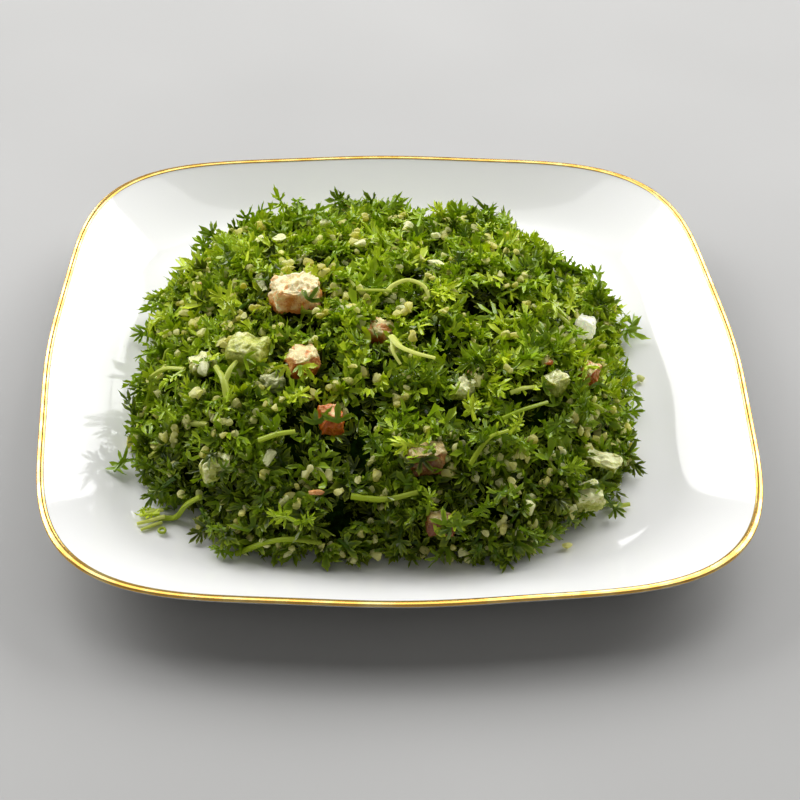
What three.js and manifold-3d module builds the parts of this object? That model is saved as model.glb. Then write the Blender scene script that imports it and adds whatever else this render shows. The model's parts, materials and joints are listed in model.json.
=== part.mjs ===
// Tabbouleh on a square porcelain plate: chopped curly parsley, bulgur, diced tomato, cucumber and onion,
// heaped loosely on the well of a white plate with a gilt lip.
// Millimetres, +Z up. The origin is on the ground under the middle of the plate, and -Y is the diner's side.

import * as THREE from "three";
import { mergeGeometries, mergeVertices } from "three/addons/utils/BufferGeometryUtils.js";
import Module from "manifold-3d";

const wasm = await Module();
wasm.setup();

// ---- Driving dimensions ----

const PLATE_HALF_WIDTH = 110; // middle of one side to the centre
const PLATE_SQUARENESS = 4.02; // exponent of the rounded square: 2 is a circle, more is squarer
const PLATE_SIDE_EASE = 0.0077; // how much the outline draws in between a side's middle and its corner
const PLATE_STEPS = 60;
const PLATE_CORNER_CROWDING = 0.12; // how far the steps crowd into the corners, in radians
const WELL_HEIGHT = 7;
const RIM_HEIGHT = 19.5;
const FOOT_RECESS = 2.5; // the underside inside the foot ring clears the table by this

const HEAP_CENTRE = [-2, -7];
const HEAP_RADIUS = 80.5; // of the bare core, whose leaves reach further
const HEAP_HEIGHT = 35; // of the bare core above the well
const HEAP_SHOULDER = 2.8; // higher keeps the top flat further out
const HEAP_EDGE = 0.52; // lower makes the edge steeper
const HEAP_ROWS = 11;
const HEAP_STEPS = 56;
const HEAP_BUMP = 2.2;

const GAP = 0.35; // between pieces that lie against each other

const LEAF_THICKNESS = 1.1;
const LEAF_LENGTHS = [12, 17.5];
const LEAF_ROOT_DEPTH = 3.2; // how far a leaf's base is buried in the core
const LEAF_TILTS = [0.35, 0.68]; // radians that a leaf stands off the surface
const LEAF_TRIES = 6;
const CANOPY_TOP = 51; // no leaf, grain or stem reaches higher
const SPRIG_COUNT = 38;
const SPRIG_LEAVES = 3;
const SPRIG_FAN = 1.15; // radians between neighbouring leaves of a sprig
const SPRIG_SPREAD = 2.2; // from a sprig's middle to each leaf's base
const SPREAD_POWER = 0.46; // a half spreads pieces evenly, and less puts more of them on the steep edge
const GRAIN_COUNT = 22;
const GRAIN_SIZE = [4.1, 2.5, 2.3];
const STEM_SIDES = 6;
const STEM_STEPS = 4;

// Each topping: its middle in plan, its size along, across and up, and its turn about Z in degrees.
const TOMATOES = [
  { at: [-31, -5.5], size: [18.5, 14, 12.5], turn: 12 },
  { at: [-29, -36], size: [11.5, 10, 10.5], turn: 28 },
  { at: [-21, -55], size: [8.5, 9, 10], turn: 15 },
  { at: [-6, -21.5], size: [11, 9, 8], turn: -20 },
  { at: [5.5, -67], size: [12, 9, 9], turn: 5 },
  { at: [57, -30.5], size: [8, 7, 8], turn: 40 },
  { at: [10, -81], size: [10, 8, 8], turn: -10 },
];
const CUCUMBERS = [
  { at: [-45.5, -28.5], size: [14, 11.5, 10.5], turn: -15 },
  { at: [-59, -27], size: [9, 8, 7], turn: 30 },
  { at: [-54, -62.5], size: [11, 7, 8], turn: 20 },
  { at: [59, -55], size: [13, 8, 4.5], turn: -25 },
  { at: [54, -65.5], size: [10, 9, 9], turn: 10 },
  { at: [59, -5.5], size: [8, 7, 9], turn: 65 },
  { at: [45.5, -38], size: [8, 8, 7], turn: 35 },
  { at: [18, -45], size: [7, 9, 7], turn: -35 },
];
const ONIONS = [
  { at: [-42.5, 3.5], size: [3.6, 12, 5], turn: 8 },
  { at: [-37.5, -41], size: [8, 7, 6], turn: 25 },
];
const TOPPING_PROUD = 0.22; // share of a topping's height by which its middle stands above the core
const TOPPING_BOXINESS = 4.6; // exponent of its rounded box
const TOPPING_UNEVENNESS = 0.13;

// Each stem: its two ends and the middle it bows through, in plan, with its width and its rise over the core.
const STEMS = [
  { from: [-51, -48], by: [-52, -40], to: [-55, -31], width: 2.4, rise: 3.2 },
  { from: [-51, -42], by: [-49, -37], to: [-46, -33], width: 1.8, rise: 3.4 },
  { from: [-4, -3], by: [2, 2], to: [10, -5], width: 1.9, rise: 4.4 },
  { from: [-3, -28], by: [1, -33], to: [11, -35], width: 1.8, rise: 4 },
  { from: [-16, -72], by: [-7, -73], to: [4, -72], width: 2.5, rise: 3 },
  { from: [-43, -74], by: [-34, -77], to: [-22, -78], width: 2.3, rise: 1.4 },
  { from: [-70, -53], by: [-64, -56], to: [-56, -60], width: 2.4, rise: 2 },
  { from: [28, -54], by: [35, -52], to: [42, -46], width: 2, rise: 3.4 },
  { from: [61, 4], by: [68, 6], to: [74, 9], width: 2, rise: 3 },
  { from: [-42, -60], by: [-37, -61], to: [-31, -59], width: 2.2, rise: 3.2 },
];

// ---- Shared helpers ----

// The solid of a closed geometry.
function solidOf(geometry) {
  const plain = geometry.clone();
  plain.deleteAttribute("normal");
  plain.deleteAttribute("uv");
  const merged = mergeVertices(plain, 1e-4);
  return new wasm.Manifold(
    new wasm.Mesh({
      numProp: 3,
      vertProperties: new Float32Array(merged.attributes.position.array),
      triVerts: new Uint32Array(merged.index.array),
    }),
  );
}

// The geometry of a solid, without any loose scrap or sealed hollow.
function geometryOf(solid) {
  const bodies = solid.decompose().sort((a, b) => b.volume() - a.volume());
  const mesh = bodies[0].getMesh();
  const geometry = new THREE.BufferGeometry();
  geometry.setAttribute("position", new THREE.BufferAttribute(mesh.vertProperties, 3));
  geometry.setIndex(new THREE.BufferAttribute(mesh.triVerts, 1));
  geometry.computeVertexNormals();
  return geometry;
}

// Moves every vertex of a geometry by a function of its place.
function reshape(geometry, place) {
  const position = geometry.attributes.position;
  const point = new THREE.Vector3();
  for (let i = 0; i < position.count; i++) {
    place(point.fromBufferAttribute(position, i));
    position.setXYZ(i, point.x, point.y, point.z);
  }
  return geometry;
}

// A repeatable stream of numbers from 0 to 1.
function seededRandom(seed) {
  let state = seed;
  return () => {
    state = (state + 0x6d2b79f5) | 0;
    let t = Math.imul(state ^ (state >>> 15), 1 | state);
    t = (t + Math.imul(t ^ (t >>> 7), 61 | t)) ^ t;
    return ((t ^ (t >>> 14)) >>> 0) / 4294967296;
  };
}

function named(name, geometry, material) {
  const mesh = new THREE.Mesh(geometry, material);
  mesh.name = name;
  return mesh;
}

// ---- Materials ----

function glazedPorcelain() {
  return new THREE.MeshStandardMaterial({ color: 0xf2f2f0, roughness: 0.12, metalness: 0 });
}

function choppedParsley() {
  return new THREE.MeshStandardMaterial({ color: 0x4f7a14, roughness: 0.45, metalness: 0 });
}

function tomatoFlesh() {
  return new THREE.MeshStandardMaterial({ color: 0xb4532f, roughness: 0.3, metalness: 0 });
}

function cucumberFlesh() {
  return new THREE.MeshStandardMaterial({ color: 0xc9cf94, roughness: 0.35, metalness: 0 });
}

function onionFlesh() {
  return new THREE.MeshStandardMaterial({ color: 0xd2d3ad, roughness: 0.3, metalness: 0 });
}

function bulgurGrain() {
  return new THREE.MeshStandardMaterial({ color: 0xd9cf9e, roughness: 0.5, metalness: 0 });
}

// ---- Plate ----

// Radius of the plate's outline over its half width: 1 at a side's middle, 1.19 at a corner.
function outlineFactor(angle) {
  const across = Math.abs(Math.cos(angle)) ** PLATE_SQUARENESS;
  const along = Math.abs(Math.sin(angle)) ** PLATE_SQUARENESS;
  const ease = 1 + PLATE_SIDE_EASE * (Math.cos(8 * angle) - 1);
  return (across + along) ** (-1 / PLATE_SQUARENESS) * ease;
}

// The section from the middle out, as fractions of the outline and heights: under the plate, then over it.
const UNDERSIDE = [
  [0, FOOT_RECESS],
  [0.6, FOOT_RECESS],
  [0.615, 0],
  [0.64, 0],
  [0.66, 3],
  [0.76, 4],
  [0.85, 7.5],
  [0.93, 12],
  [0.985, RIM_HEIGHT - 3],
  [1, RIM_HEIGHT - 1.2],
];
const TOPSIDE = [
  [0, WELL_HEIGHT],
  [0.7, WELL_HEIGHT],
  [0.76, WELL_HEIGHT + 0.3],
  [0.8, WELL_HEIGHT + 1.4],
  [0.86, WELL_HEIGHT + 4.4],
  [0.93, WELL_HEIGHT + 8.6],
  [0.98, RIM_HEIGHT - 0.6],
  [0.993, RIM_HEIGHT],
];

// Height of the plate's upper surface over a place in plan.
function plateTop(x, y) {
  const share = Math.hypot(x, y) / (PLATE_HALF_WIDTH * outlineFactor(Math.atan2(y, x)));
  const next = TOPSIDE.findIndex(([fraction]) => fraction > share);
  if (next < 1) return RIM_HEIGHT;
  const [inner, low] = TOPSIDE[next - 1];
  const [outer, high] = TOPSIDE[next];
  return THREE.MathUtils.mapLinear(share, inner, outer, low, high);
}

// The section is turned round the axis, then each ring is drawn out to the rounded square.
function plateGeometry() {
  const section = [...UNDERSIDE, ...TOPSIDE.toReversed()].map(
    ([fraction, height]) => new THREE.Vector2(fraction * PLATE_HALF_WIDTH, height),
  );
  const plate = new THREE.LatheGeometry(section, PLATE_STEPS);
  plate.rotateX(Math.PI / 2);
  return reshape(plate, (p) => {
    const even = Math.atan2(p.y, p.x);
    const angle = even + PLATE_CORNER_CROWDING * Math.sin(4 * even);
    const radius = Math.hypot(p.x, p.y) * outlineFactor(angle);
    p.set(radius * Math.cos(angle), radius * Math.sin(angle), p.z);
  });
}

// ---- Heap core ----

// Radius of the heap's uneven outline, which bulges towards the plate's corners.
function heapRadius(angle) {
  const corners = 3.8 * Math.cos(4 * angle - 2.86);
  const lean = 1.9 * Math.cos(angle + 2.72);
  const nibbles = 1.25 * Math.cos(8 * angle - 2.55);
  return HEAP_RADIUS + corners + lean + nibbles;
}

// Soft hills and hollows, about one bulge every 20 mm, from -1 to 1.
function unevenness(x, y) {
  const coarse = Math.sin(x / 3.3 + 1.1) * Math.cos(y / 3.6 - 0.4);
  const cross = Math.sin((x - y) / 5.1) * Math.cos((x + y) / 5.9);
  return 0.6 * coarse + 0.4 * cross;
}

// Height of the heap's section at a share of its radius, as a share of its full height.
function heapRise(share) {
  return (1 - share ** HEAP_SHOULDER) ** HEAP_EDGE;
}

// Height of the bare core over a place in plan, or of the plate beside it.
function heapTop(x, y) {
  const out = Math.hypot(x - HEAP_CENTRE[0], y - HEAP_CENTRE[1]);
  const share = out / heapRadius(Math.atan2(y - HEAP_CENTRE[1], x - HEAP_CENTRE[0]));
  const base = plateTop(x, y) + GAP;
  if (share >= 1) return base;
  const rise = heapRise(share);
  return Math.max(base, WELL_HEIGHT + HEAP_HEIGHT * rise + HEAP_BUMP * rise * unevenness(x, y));
}

// Direction straight out of the core's surface.
function heapNormal(x, y) {
  const step = 1.5;
  const slopeX = (heapTop(x + step, y) - heapTop(x - step, y)) / (2 * step);
  const slopeY = (heapTop(x, y + step) - heapTop(x, y - step)) / (2 * step);
  return new THREE.Vector3(-slopeX, -slopeY, 1).normalize();
}

// A disc of two faces is turned round the axis. Its lower face is laid on the plate, and its upper face is
// raised to the heap's top.
function coreGeometry() {
  const shares = Array.from({ length: HEAP_ROWS }, (_, i) => Math.sin((i / HEAP_ROWS) * (Math.PI / 2)));
  const under = [0, 0.5, 0.85].map((share) => new THREE.Vector2(share, 0));
  const edge = new THREE.Vector2(1, 0);
  const over = shares.toReversed().map((share) => new THREE.Vector2(share, 1));
  const disc = new THREE.LatheGeometry([...under, edge, ...over], HEAP_STEPS);
  disc.rotateX(Math.PI / 2);
  return reshape(disc, (p) => {
    const radius = heapRadius(Math.atan2(p.y, p.x));
    const onTop = p.z > 0.5;
    p.set(p.x * radius + HEAP_CENTRE[0], p.y * radius + HEAP_CENTRE[1], 0);
    p.z = onTop ? heapTop(p.x, p.y) : plateTop(p.x, p.y) + GAP;
  });
}

// ---- Toppings ----

// A cut chunk: a rounded box with uneven faces, grown on every side by the given margin.
function chunkGeometry({ at, size, turn }, margin) {
  const ball = new THREE.BoxGeometry(2, 2, 2, 2, 2, 2);
  const seed = at[0] * 0.7 + at[1] * 1.3;
  const middle = heapTop(...at) + TOPPING_PROUD * size[2];
  const floor = plateTop(...at) + GAP + size[2] / 2;
  const lift = Math.max(middle, floor);
  reshape(ball, (p) => {
    const box = [p.x, p.y, p.z].map((v) => Math.abs(v) ** TOPPING_BOXINESS).reduce((sum, v) => sum + v);
    const dent = Math.sin(5 * p.x + seed) + Math.cos(4 * p.y - seed) + Math.sin(4.5 * p.z + 2 * seed);
    p.multiplyScalar(box ** (-1 / TOPPING_BOXINESS) * (1 - (TOPPING_UNEVENNESS * (dent + 3)) / 6));
    const grow = (half) => half + margin * 1.25;
    p.set(p.x * grow(size[0] / 2), p.y * grow(size[1] / 2), p.z * grow(size[2] / 2));
  });
  ball.rotateZ(THREE.MathUtils.degToRad(turn));
  return ball.translate(at[0], at[1], lift);
}

function toppings(baseName, chunks, material) {
  return chunks.map((chunk, i) => named(`${baseName}_${i + 1}`, chunkGeometry(chunk, 0), material()));
}

// ---- Leaves, grains and stems ----

// Places along a leaf and its half width there: a stalk, side lobes that alternate with notches, and a tip.
const LEAF_PROFILE = [
  [0, 0.1],
  [0.36, 1],
  [0.54, 0.38],
  [0.78, 0.8],
  [1, 0.05],
];

// A curly parsley leaf from its base at the origin to its tip along +Y. The same triangles cover both faces,
// which meet along the outline and stand apart at the midrib.
function leafGeometry(length, width, wave) {
  const rows = LEAF_PROFILE.length - 1;
  const face = (side) =>
    reshape(new THREE.PlaneGeometry(2, 1, 2, rows), (p) => {
      const [along, halfWidth] = LEAF_PROFILE[Math.round((p.y + 0.5) * rows)];
      const reach = p.x * halfWidth;
      const sweep = Math.abs(reach) * 0.16;
      const curl = Math.abs(reach) * Math.sin(wave + 6 * along) * 0.5 + 0.35 * Math.sin(3 * along + wave);
      const onOutline = Math.abs(p.x) > 0.5 || Math.abs(p.y) > 0.49;
      const thick = onOutline ? 0 : (side * LEAF_THICKNESS) / 2;
      p.set((reach * width) / 2, (along + sweep) * length, (curl * width) / 2 + thick);
    });
  const upper = face(1);
  const lower = face(-1);
  lower.index.array.reverse();
  upper.deleteAttribute("uv");
  lower.deleteAttribute("uv");
  return mergeGeometries([upper, lower]);
}

// Turns a geometry so that its +Y points along a direction and its +Z faces a side, then moves its origin
// to a place.
function aim(geometry, direction, facing, place) {
  const along = direction.clone().normalize();
  const across = new THREE.Vector3().crossVectors(along, facing).normalize();
  const face = new THREE.Vector3().crossVectors(across, along);
  return geometry.applyMatrix4(new THREE.Matrix4().makeBasis(across, along, face).setPosition(place));
}

function randomDirection(random) {
  return new THREE.Vector3(random() - 0.5, random() - 0.5, random() - 0.5).normalize();
}

// Shares of the heap's radius at equal steps along its section, from the top to the foot of its steep edge.
function sectionShares(steps) {
  const shares = Array.from({ length: 400 }, (_, i) => i / 399);
  const points = shares.map((share) => new THREE.Vector2(share * HEAP_RADIUS, HEAP_HEIGHT * heapRise(share)));
  const section = new THREE.Path().setFromPoints(points);
  return section.getSpacedPoints(steps).map((point) => point.x / HEAP_RADIUS);
}

// Places spread evenly over the heap's surface in a sunflower spiral.
function sunflower(count, reach, start) {
  const turn = Math.PI * (3 - Math.sqrt(5));
  const shares = sectionShares(count);
  return Array.from({ length: count }, (_, i) => {
    const along = reach * ((i + 0.5) / count) ** SPREAD_POWER;
    const share = shares[Math.round(along * count)];
    const angle = start + i * turn;
    const out = share * heapRadius(angle);
    const x = HEAP_CENTRE[0] + out * Math.cos(angle);
    const y = HEAP_CENTRE[1] + out * Math.sin(angle);
    return { surface: new THREE.Vector3(x, y, heapTop(x, y)), outward: heapNormal(x, y) };
  });
}

// The leaves of one sprig, fanned out over the surface from bases that are buried in the core.
function sprigLeaves({ surface, outward }, random) {
  const level = new THREE.Vector3().crossVectors(outward, randomDirection(random)).normalize();
  const base = surface.clone().addScaledVector(outward, -LEAF_ROOT_DEPTH);
  return Array.from({ length: SPRIG_LEAVES }, (_, i) => {
    const fan = (i - (SPRIG_LEAVES - 1) / 2) * SPRIG_FAN;
    const heading = level.clone().applyAxisAngle(outward, fan);
    return { base: base.clone().addScaledVector(heading, SPRIG_SPREAD), heading, outward };
  });
}

// One leaf as a solid that keeps clear of its neighbours, tried again steeper and turned, or none.
function grownLeaf({ base, heading, outward }, clear, random) {
  for (let attempt = 0; attempt < LEAF_TRIES; attempt++) {
    const length = THREE.MathUtils.lerp(...LEAF_LENGTHS, random());
    const leaf = leafGeometry(length, length * (0.7 + 0.2 * random()), 6 * random());
    const tilt = THREE.MathUtils.lerp(...LEAF_TILTS, random()) + 0.05 * attempt;
    const turned = heading.clone().applyAxisAngle(outward, attempt * (random() - 0.5));
    const direction = turned.multiplyScalar(Math.cos(tilt)).addScaledVector(outward, Math.sin(tilt));
    const facing = outward.clone().addScaledVector(randomDirection(random), 0.6);
    const solid = solidOf(aim(leaf, direction, facing, base));
    if (clear(solid)) return [solid];
  }
  return [];
}

function grainGeometry({ surface, outward }, random) {
  const grain = new THREE.IcosahedronGeometry(0.5, 0);
  const grow = 0.85 + 0.35 * random();
  grain.scale(GRAIN_SIZE[1] * grow, GRAIN_SIZE[0] * grow, GRAIN_SIZE[2] * grow);
  return aim(grain, randomDirection(random), outward, surface.clone().addScaledVector(outward, 0.3));
}

// A stem that springs from the core, bows over it and goes back in.
function stemGeometry({ from, by, to, width, rise }) {
  const over = (place, lift) => new THREE.Vector3(...place, heapTop(...place) + lift);
  const path = new THREE.CatmullRomCurve3([over(from, -1.5), over(by, rise), over(to, rise * 0.4)]);
  const corner = (i) => {
    const angle = (i * 2 * Math.PI) / STEM_SIDES;
    return new THREE.Vector2(Math.cos(angle), Math.sin(angle)).multiplyScalar(width / 2);
  };
  const section = new THREE.Shape(Array.from({ length: STEM_SIDES }, (_, i) => corner(i)));
  return new THREE.ExtrudeGeometry(section, {
    extrudePath: path,
    steps: STEM_STEPS,
    bevelEnabled: false,
  });
}

// The room that a small piece takes up, as a box with a gap round it.
function boxRound(mesh) {
  const box = new THREE.Box3().setFromObject(mesh).expandByScalar(GAP);
  const [size, middle] = [box.getSize(new THREE.Vector3()), box.getCenter(new THREE.Vector3())];
  return new THREE.BoxGeometry(...size).translate(...middle);
}

// The salad: the core with its pockets for the toppings, and every leaf, grain and stem that stays clear of
// them, of the plate and of the strays.
function heapGeometry(plate, strays) {
  const pockets = [...TOMATOES, ...CUCUMBERS, ...ONIONS].map((chunk) => solidOf(chunkGeometry(chunk, GAP)));
  const raisedPlate = solidOf(plate.clone().translate(0, 0, GAP));
  const rooms = strays.map((stray) => solidOf(boxRound(stray)));
  const obstacles = [...pockets, ...rooms].reduce((all, room) => all.add(room), raisedPlate);
  const low = (piece) => piece.boundingBox().max[2] < CANOPY_TOP;
  const clear = (piece) => low(piece) && piece.intersect(obstacles).volume() < 1e-3;
  const random = seededRandom(20);
  const stems = STEMS.map((stem) => solidOf(stemGeometry(stem))).filter(clear);
  const sprigs = sunflower(SPRIG_COUNT, 0.97, 0.4).flatMap((spot) => sprigLeaves(spot, random));
  const leaves = sprigs.flatMap((leaf) => grownLeaf(leaf, clear, random));
  const spots = sunflower(GRAIN_COUNT, 0.93, 1.9);
  const grains = spots.map((spot) => solidOf(grainGeometry(spot, random))).filter(clear);
  const core = pockets.reduce((rest, pocket) => rest.subtract(pocket), solidOf(coreGeometry()));
  return geometryOf([...stems, ...leaves, ...grains].reduce((heap, piece) => heap.add(piece), core));
}

// ---- Strays on the plate ----

function straySprig() {
  const place = new THREE.Vector3(-84, -47.5, plateTop(-84, -47.5) + 1.6);
  const leaf = leafGeometry(9.5, 6, 2.2);
  const [direction, facing] = [new THREE.Vector3(0.1, 1, 0.05), new THREE.Vector3(0.2, 0, 1)];
  return named("stray_sprig", aim(leaf, direction, facing, place), choppedParsley());
}

function strayStemRing() {
  const ring = new THREE.TorusGeometry(1.6, 0.55, 5, 9);
  return named("stray_stem_ring", ring.translate(-70, -70, plateTop(-70, -70) + 1.3), choppedParsley());
}

function strayGrain() {
  const grain = new THREE.IcosahedronGeometry(0.5, 0);
  grain.scale(...GRAIN_SIZE);
  return named("stray_grain", grain.translate(47, -78, plateTop(47, -78) + 1.6), bulgurGrain());
}

function strayCucumber() {
  const bit = new THREE.IcosahedronGeometry(0.5, 0);
  bit.scale(4.5, 3.4, 2);
  return named("stray_cucumber", bit.translate(79.5, -4, plateTop(79.5, -4) + 1.5), cucumberFlesh());
}

// ---- The whole ----

const plate = plateGeometry();
const strays = [straySprig(), strayStemRing(), strayGrain(), strayCucumber()];
const tabbouleh = new THREE.Group();
tabbouleh.add(named("plate", plate, glazedPorcelain()));
tabbouleh.add(named("salad_heap", heapGeometry(plate, strays), choppedParsley()));
tabbouleh.add(...toppings("tomato", TOMATOES, tomatoFlesh));
tabbouleh.add(...toppings("cucumber", CUCUMBERS, cucumberFlesh));
tabbouleh.add(...toppings("onion", ONIONS, onionFlesh));
tabbouleh.add(...strays);

export default tabbouleh;
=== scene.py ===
"""Tabbouleh on a gilt-edged plate: chopped curly parsley, bulgur, diced tomato, cucumber and onion.

Everything is in metres, +Z up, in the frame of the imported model. -Y is the diner's side of the plate.
"""

from __future__ import annotations

import json
import logging
import math
import random
from dataclasses import dataclass, field, replace
from enum import Enum
from typing import Any, Callable, Iterable, Sequence

import bmesh
import bpy
import numpy as np
from mathutils import Matrix, Vector, noise

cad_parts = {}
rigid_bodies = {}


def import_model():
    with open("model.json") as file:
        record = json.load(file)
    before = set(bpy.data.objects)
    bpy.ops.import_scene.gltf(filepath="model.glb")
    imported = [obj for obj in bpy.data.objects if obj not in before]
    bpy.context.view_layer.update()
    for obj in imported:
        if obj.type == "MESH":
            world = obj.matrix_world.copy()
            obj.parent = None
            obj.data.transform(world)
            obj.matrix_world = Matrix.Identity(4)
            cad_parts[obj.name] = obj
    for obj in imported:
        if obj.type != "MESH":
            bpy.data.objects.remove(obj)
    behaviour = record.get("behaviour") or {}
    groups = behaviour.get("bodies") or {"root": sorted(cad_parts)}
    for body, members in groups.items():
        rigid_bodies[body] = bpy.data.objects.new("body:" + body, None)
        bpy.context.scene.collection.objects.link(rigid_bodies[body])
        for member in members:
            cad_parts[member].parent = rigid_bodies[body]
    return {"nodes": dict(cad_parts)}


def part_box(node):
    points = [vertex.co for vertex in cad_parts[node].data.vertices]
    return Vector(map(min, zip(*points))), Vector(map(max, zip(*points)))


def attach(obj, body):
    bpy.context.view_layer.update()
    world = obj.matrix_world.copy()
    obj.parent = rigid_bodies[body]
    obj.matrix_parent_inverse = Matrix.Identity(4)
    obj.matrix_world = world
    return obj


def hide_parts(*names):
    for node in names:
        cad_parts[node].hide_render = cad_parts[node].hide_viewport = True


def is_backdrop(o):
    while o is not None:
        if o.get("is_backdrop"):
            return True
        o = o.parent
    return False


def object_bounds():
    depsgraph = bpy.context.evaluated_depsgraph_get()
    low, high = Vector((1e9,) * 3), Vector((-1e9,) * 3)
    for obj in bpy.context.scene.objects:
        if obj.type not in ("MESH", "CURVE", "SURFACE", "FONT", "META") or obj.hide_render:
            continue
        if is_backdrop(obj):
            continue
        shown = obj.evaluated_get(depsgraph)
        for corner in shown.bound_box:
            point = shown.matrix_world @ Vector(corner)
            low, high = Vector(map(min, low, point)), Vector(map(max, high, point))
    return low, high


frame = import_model()
CAD_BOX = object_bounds()

LOG = logging.getLogger("tabbouleh")
MM = 0.001
BODY = "root"
BAKE_MAP = "OFBake"
AIR = 0.2 * MM  # between pieces that lie on each other

# Angles in radians above which an edge stays sharp.
LEAF_EDGE = 1.0
STEM_EDGE = 1.2
STALK_EDGE = 1.3
GRAIN_EDGE = 0.32
CRUMB_EDGE = 0.6

Colour = tuple[float, float, float]
Span = tuple[float, float]
Stops = tuple[tuple[float, Colour], ...]
Socket = bpy.types.NodeSocket
Material = bpy.types.Material
Mesh = bpy.types.Mesh
Object = bpy.types.Object


class Slot(Enum):
    """The record's material slots."""

    PORCELAIN = "porcelain"
    GILDING = "gilding"
    PARSLEY = "parsley"
    STEM = "parsley_stem"
    BULGUR = "bulgur"
    TOMATO = "tomato"
    CUCUMBER = "cucumber"
    ONION = "onion"


def linked(name: str, data: bpy.types.ID, finish: Finish | None = None) -> Object:
    """Makes an object of a mesh, a light or a camera in the scene.

    Args:
        name: its name.
        data: what it is made of.
        finish: the one finish of a whole mesh.

    Returns:
        The new object, at the origin.
    """
    if finish is not None:
        data.materials.clear()
        data.materials.append(finish.material())
    obj = bpy.data.objects.new(name, data)
    bpy.context.scene.collection.objects.link(obj)
    return obj


def hand_over(obj: Object, finish: Finish, *nodes: str) -> None:
    """Gives a finished piece to the frame.

    Args:
        obj: the piece, in place.
        finish: its finish, which knows the record's slot; not used.
        *nodes: the CAD nodes that it stands for.
    """
    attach(obj, BODY)
    if nodes:
        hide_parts(*nodes)
    LOG.info("%s: %d faces", obj.name, len(obj.data.polygons))


def drawn(name: str, sketch: bmesh.types.BMesh) -> Mesh:
    """Turns a sketch into a mesh and frees it.

    Args:
        name: the mesh's name.
        sketch: the sketch.

    Returns:
        The mesh.
    """
    mesh = bpy.data.meshes.new(name)
    sketch.to_mesh(mesh)
    sketch.free()
    return mesh


def mark(mesh: Mesh, name: str, values: Sequence[float], kind: str = "FLOAT") -> None:
    """Writes one value for each point of a mesh as an attribute."""
    mesh.attributes.new(name, kind, "POINT").data.foreach_set("value", values)


def read(mesh: Mesh, name: str, kind: type = np.float32) -> np.ndarray:
    """Reads a point attribute of a mesh.

    Args:
        mesh: the mesh.
        name: the attribute's name.
        kind: the type of its values.

    Returns:
        One value for each point.
    """
    values = np.zeros(len(mesh.vertices), kind)
    mesh.attributes[name].data.foreach_get("value", values)
    return values


# ---- Wiring ----


class Bench:
    """Puts together the nodes of a material or of a Geometry Nodes tree."""

    def __init__(self, tree: bpy.types.NodeTree) -> None:
        """Starts on an empty tree."""
        self.tree = tree
        tree.nodes.clear()

    def add(self, kind: str, inputs: dict[str | int, Any] | None = None, **settings: Any) -> bpy.types.Node:
        """Adds a node.

        Args:
            kind: the node's type.
            inputs: a value or an output socket for each input, by its name or number.
            **settings: the node's own properties.

        Returns:
            The node.
        """
        node = self.tree.nodes.new(kind)
        for name, value in settings.items():
            setattr(node, name, value)
        for key, value in (inputs or {}).items():
            if isinstance(value, Socket):
                self.tree.links.new(value, node.inputs[key])
            else:
                node.inputs[key].default_value = value
        return node

    def sum_of(self, kind: str, *terms: Any) -> Socket:
        """The result of one Math node of a kind, from values or sockets."""
        return self.add("ShaderNodeMath", dict(enumerate(terms)), operation=kind).outputs[0]

    def ramp(self, factor: Socket, *stops: tuple[float, Colour]) -> Socket:
        """Colours a value from 0 to 1.

        Args:
            factor: the value.
            *stops: places from 0 to 1 with their colours.

        Returns:
            The colour's socket.
        """
        node = self.add("ShaderNodeValToRGB", {"Fac": factor})
        elements = node.color_ramp.elements
        while len(elements) < len(stops):
            elements.new(0.5)
        for element, (place, colour) in zip(elements, stops):
            element.position = place
            element.color = (*colour, 1)
        return node.outputs["Color"]

    def speckle(self, scale: float, detail: float = 2.0) -> Socket:
        """Noise that is fixed in the object.

        Args:
            scale: how many spots fit in a metre.
            detail: how many finer octaves it has.

        Returns:
            The noise's socket, about 0.5 in the middle.
        """
        place = self.add("ShaderNodeTexCoord").outputs["Object"]
        inputs = {"Vector": place, "Scale": scale, "Detail": detail}
        return self.add("ShaderNodeTexNoise", inputs).outputs["Fac"]

    def bump(self, scale: float, detail: float, depth: float, strength: float) -> Socket:
        """Fine relief.

        Args:
            scale: how many bumps fit in a metre.
            detail: how many finer octaves it has.
            depth: its depth in metres.
            strength: how much of it shows.

        Returns:
            The normal's socket.
        """
        inputs = {"Height": self.speckle(scale, detail), "Distance": depth, "Strength": strength}
        return self.add("ShaderNodeBump", inputs).outputs["Normal"]


# ---- Finishes ----


@dataclass(frozen=True)
class Finish:
    """What every finish has: its name, the record's slot, and a material that is made once."""

    name: str
    slot: Slot | None

    def material(self) -> Material:
        """The finish as a material.

        Returns:
            The one material of its name.
        """
        made = bpy.data.materials.get(self.name)
        if made is None:
            made = bpy.data.materials.new(self.name)
            made.use_nodes = True
            bench = Bench(made.node_tree)
            bench.add("ShaderNodeOutputMaterial", {"Surface": self.shader(bench)})
        return made

    def shader(self, bench: Bench) -> Socket:
        """Wires the finish's own shader and gives its socket."""
        raise NotImplementedError


@dataclass(frozen=True)
class Mottled(Finish):
    """A surface with two near colours in soft patches and, mostly, a faint relief."""

    patches: Span
    tones: Stops
    settings: dict[str, float]
    relief: tuple[float, float, float, float] | None = None

    def shader(self, bench: Bench) -> Socket:
        """Wires the patches of colour and the relief.

        Args:
            bench: where the nodes go.

        Returns:
            The shader's socket.
        """
        inputs = {"Base Color": bench.ramp(bench.speckle(*self.patches), *self.tones), **self.settings}
        if self.relief:
            inputs["Normal"] = bench.bump(*self.relief)
        return bench.add("ShaderNodeBsdfPrincipled", inputs).outputs[0]


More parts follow.
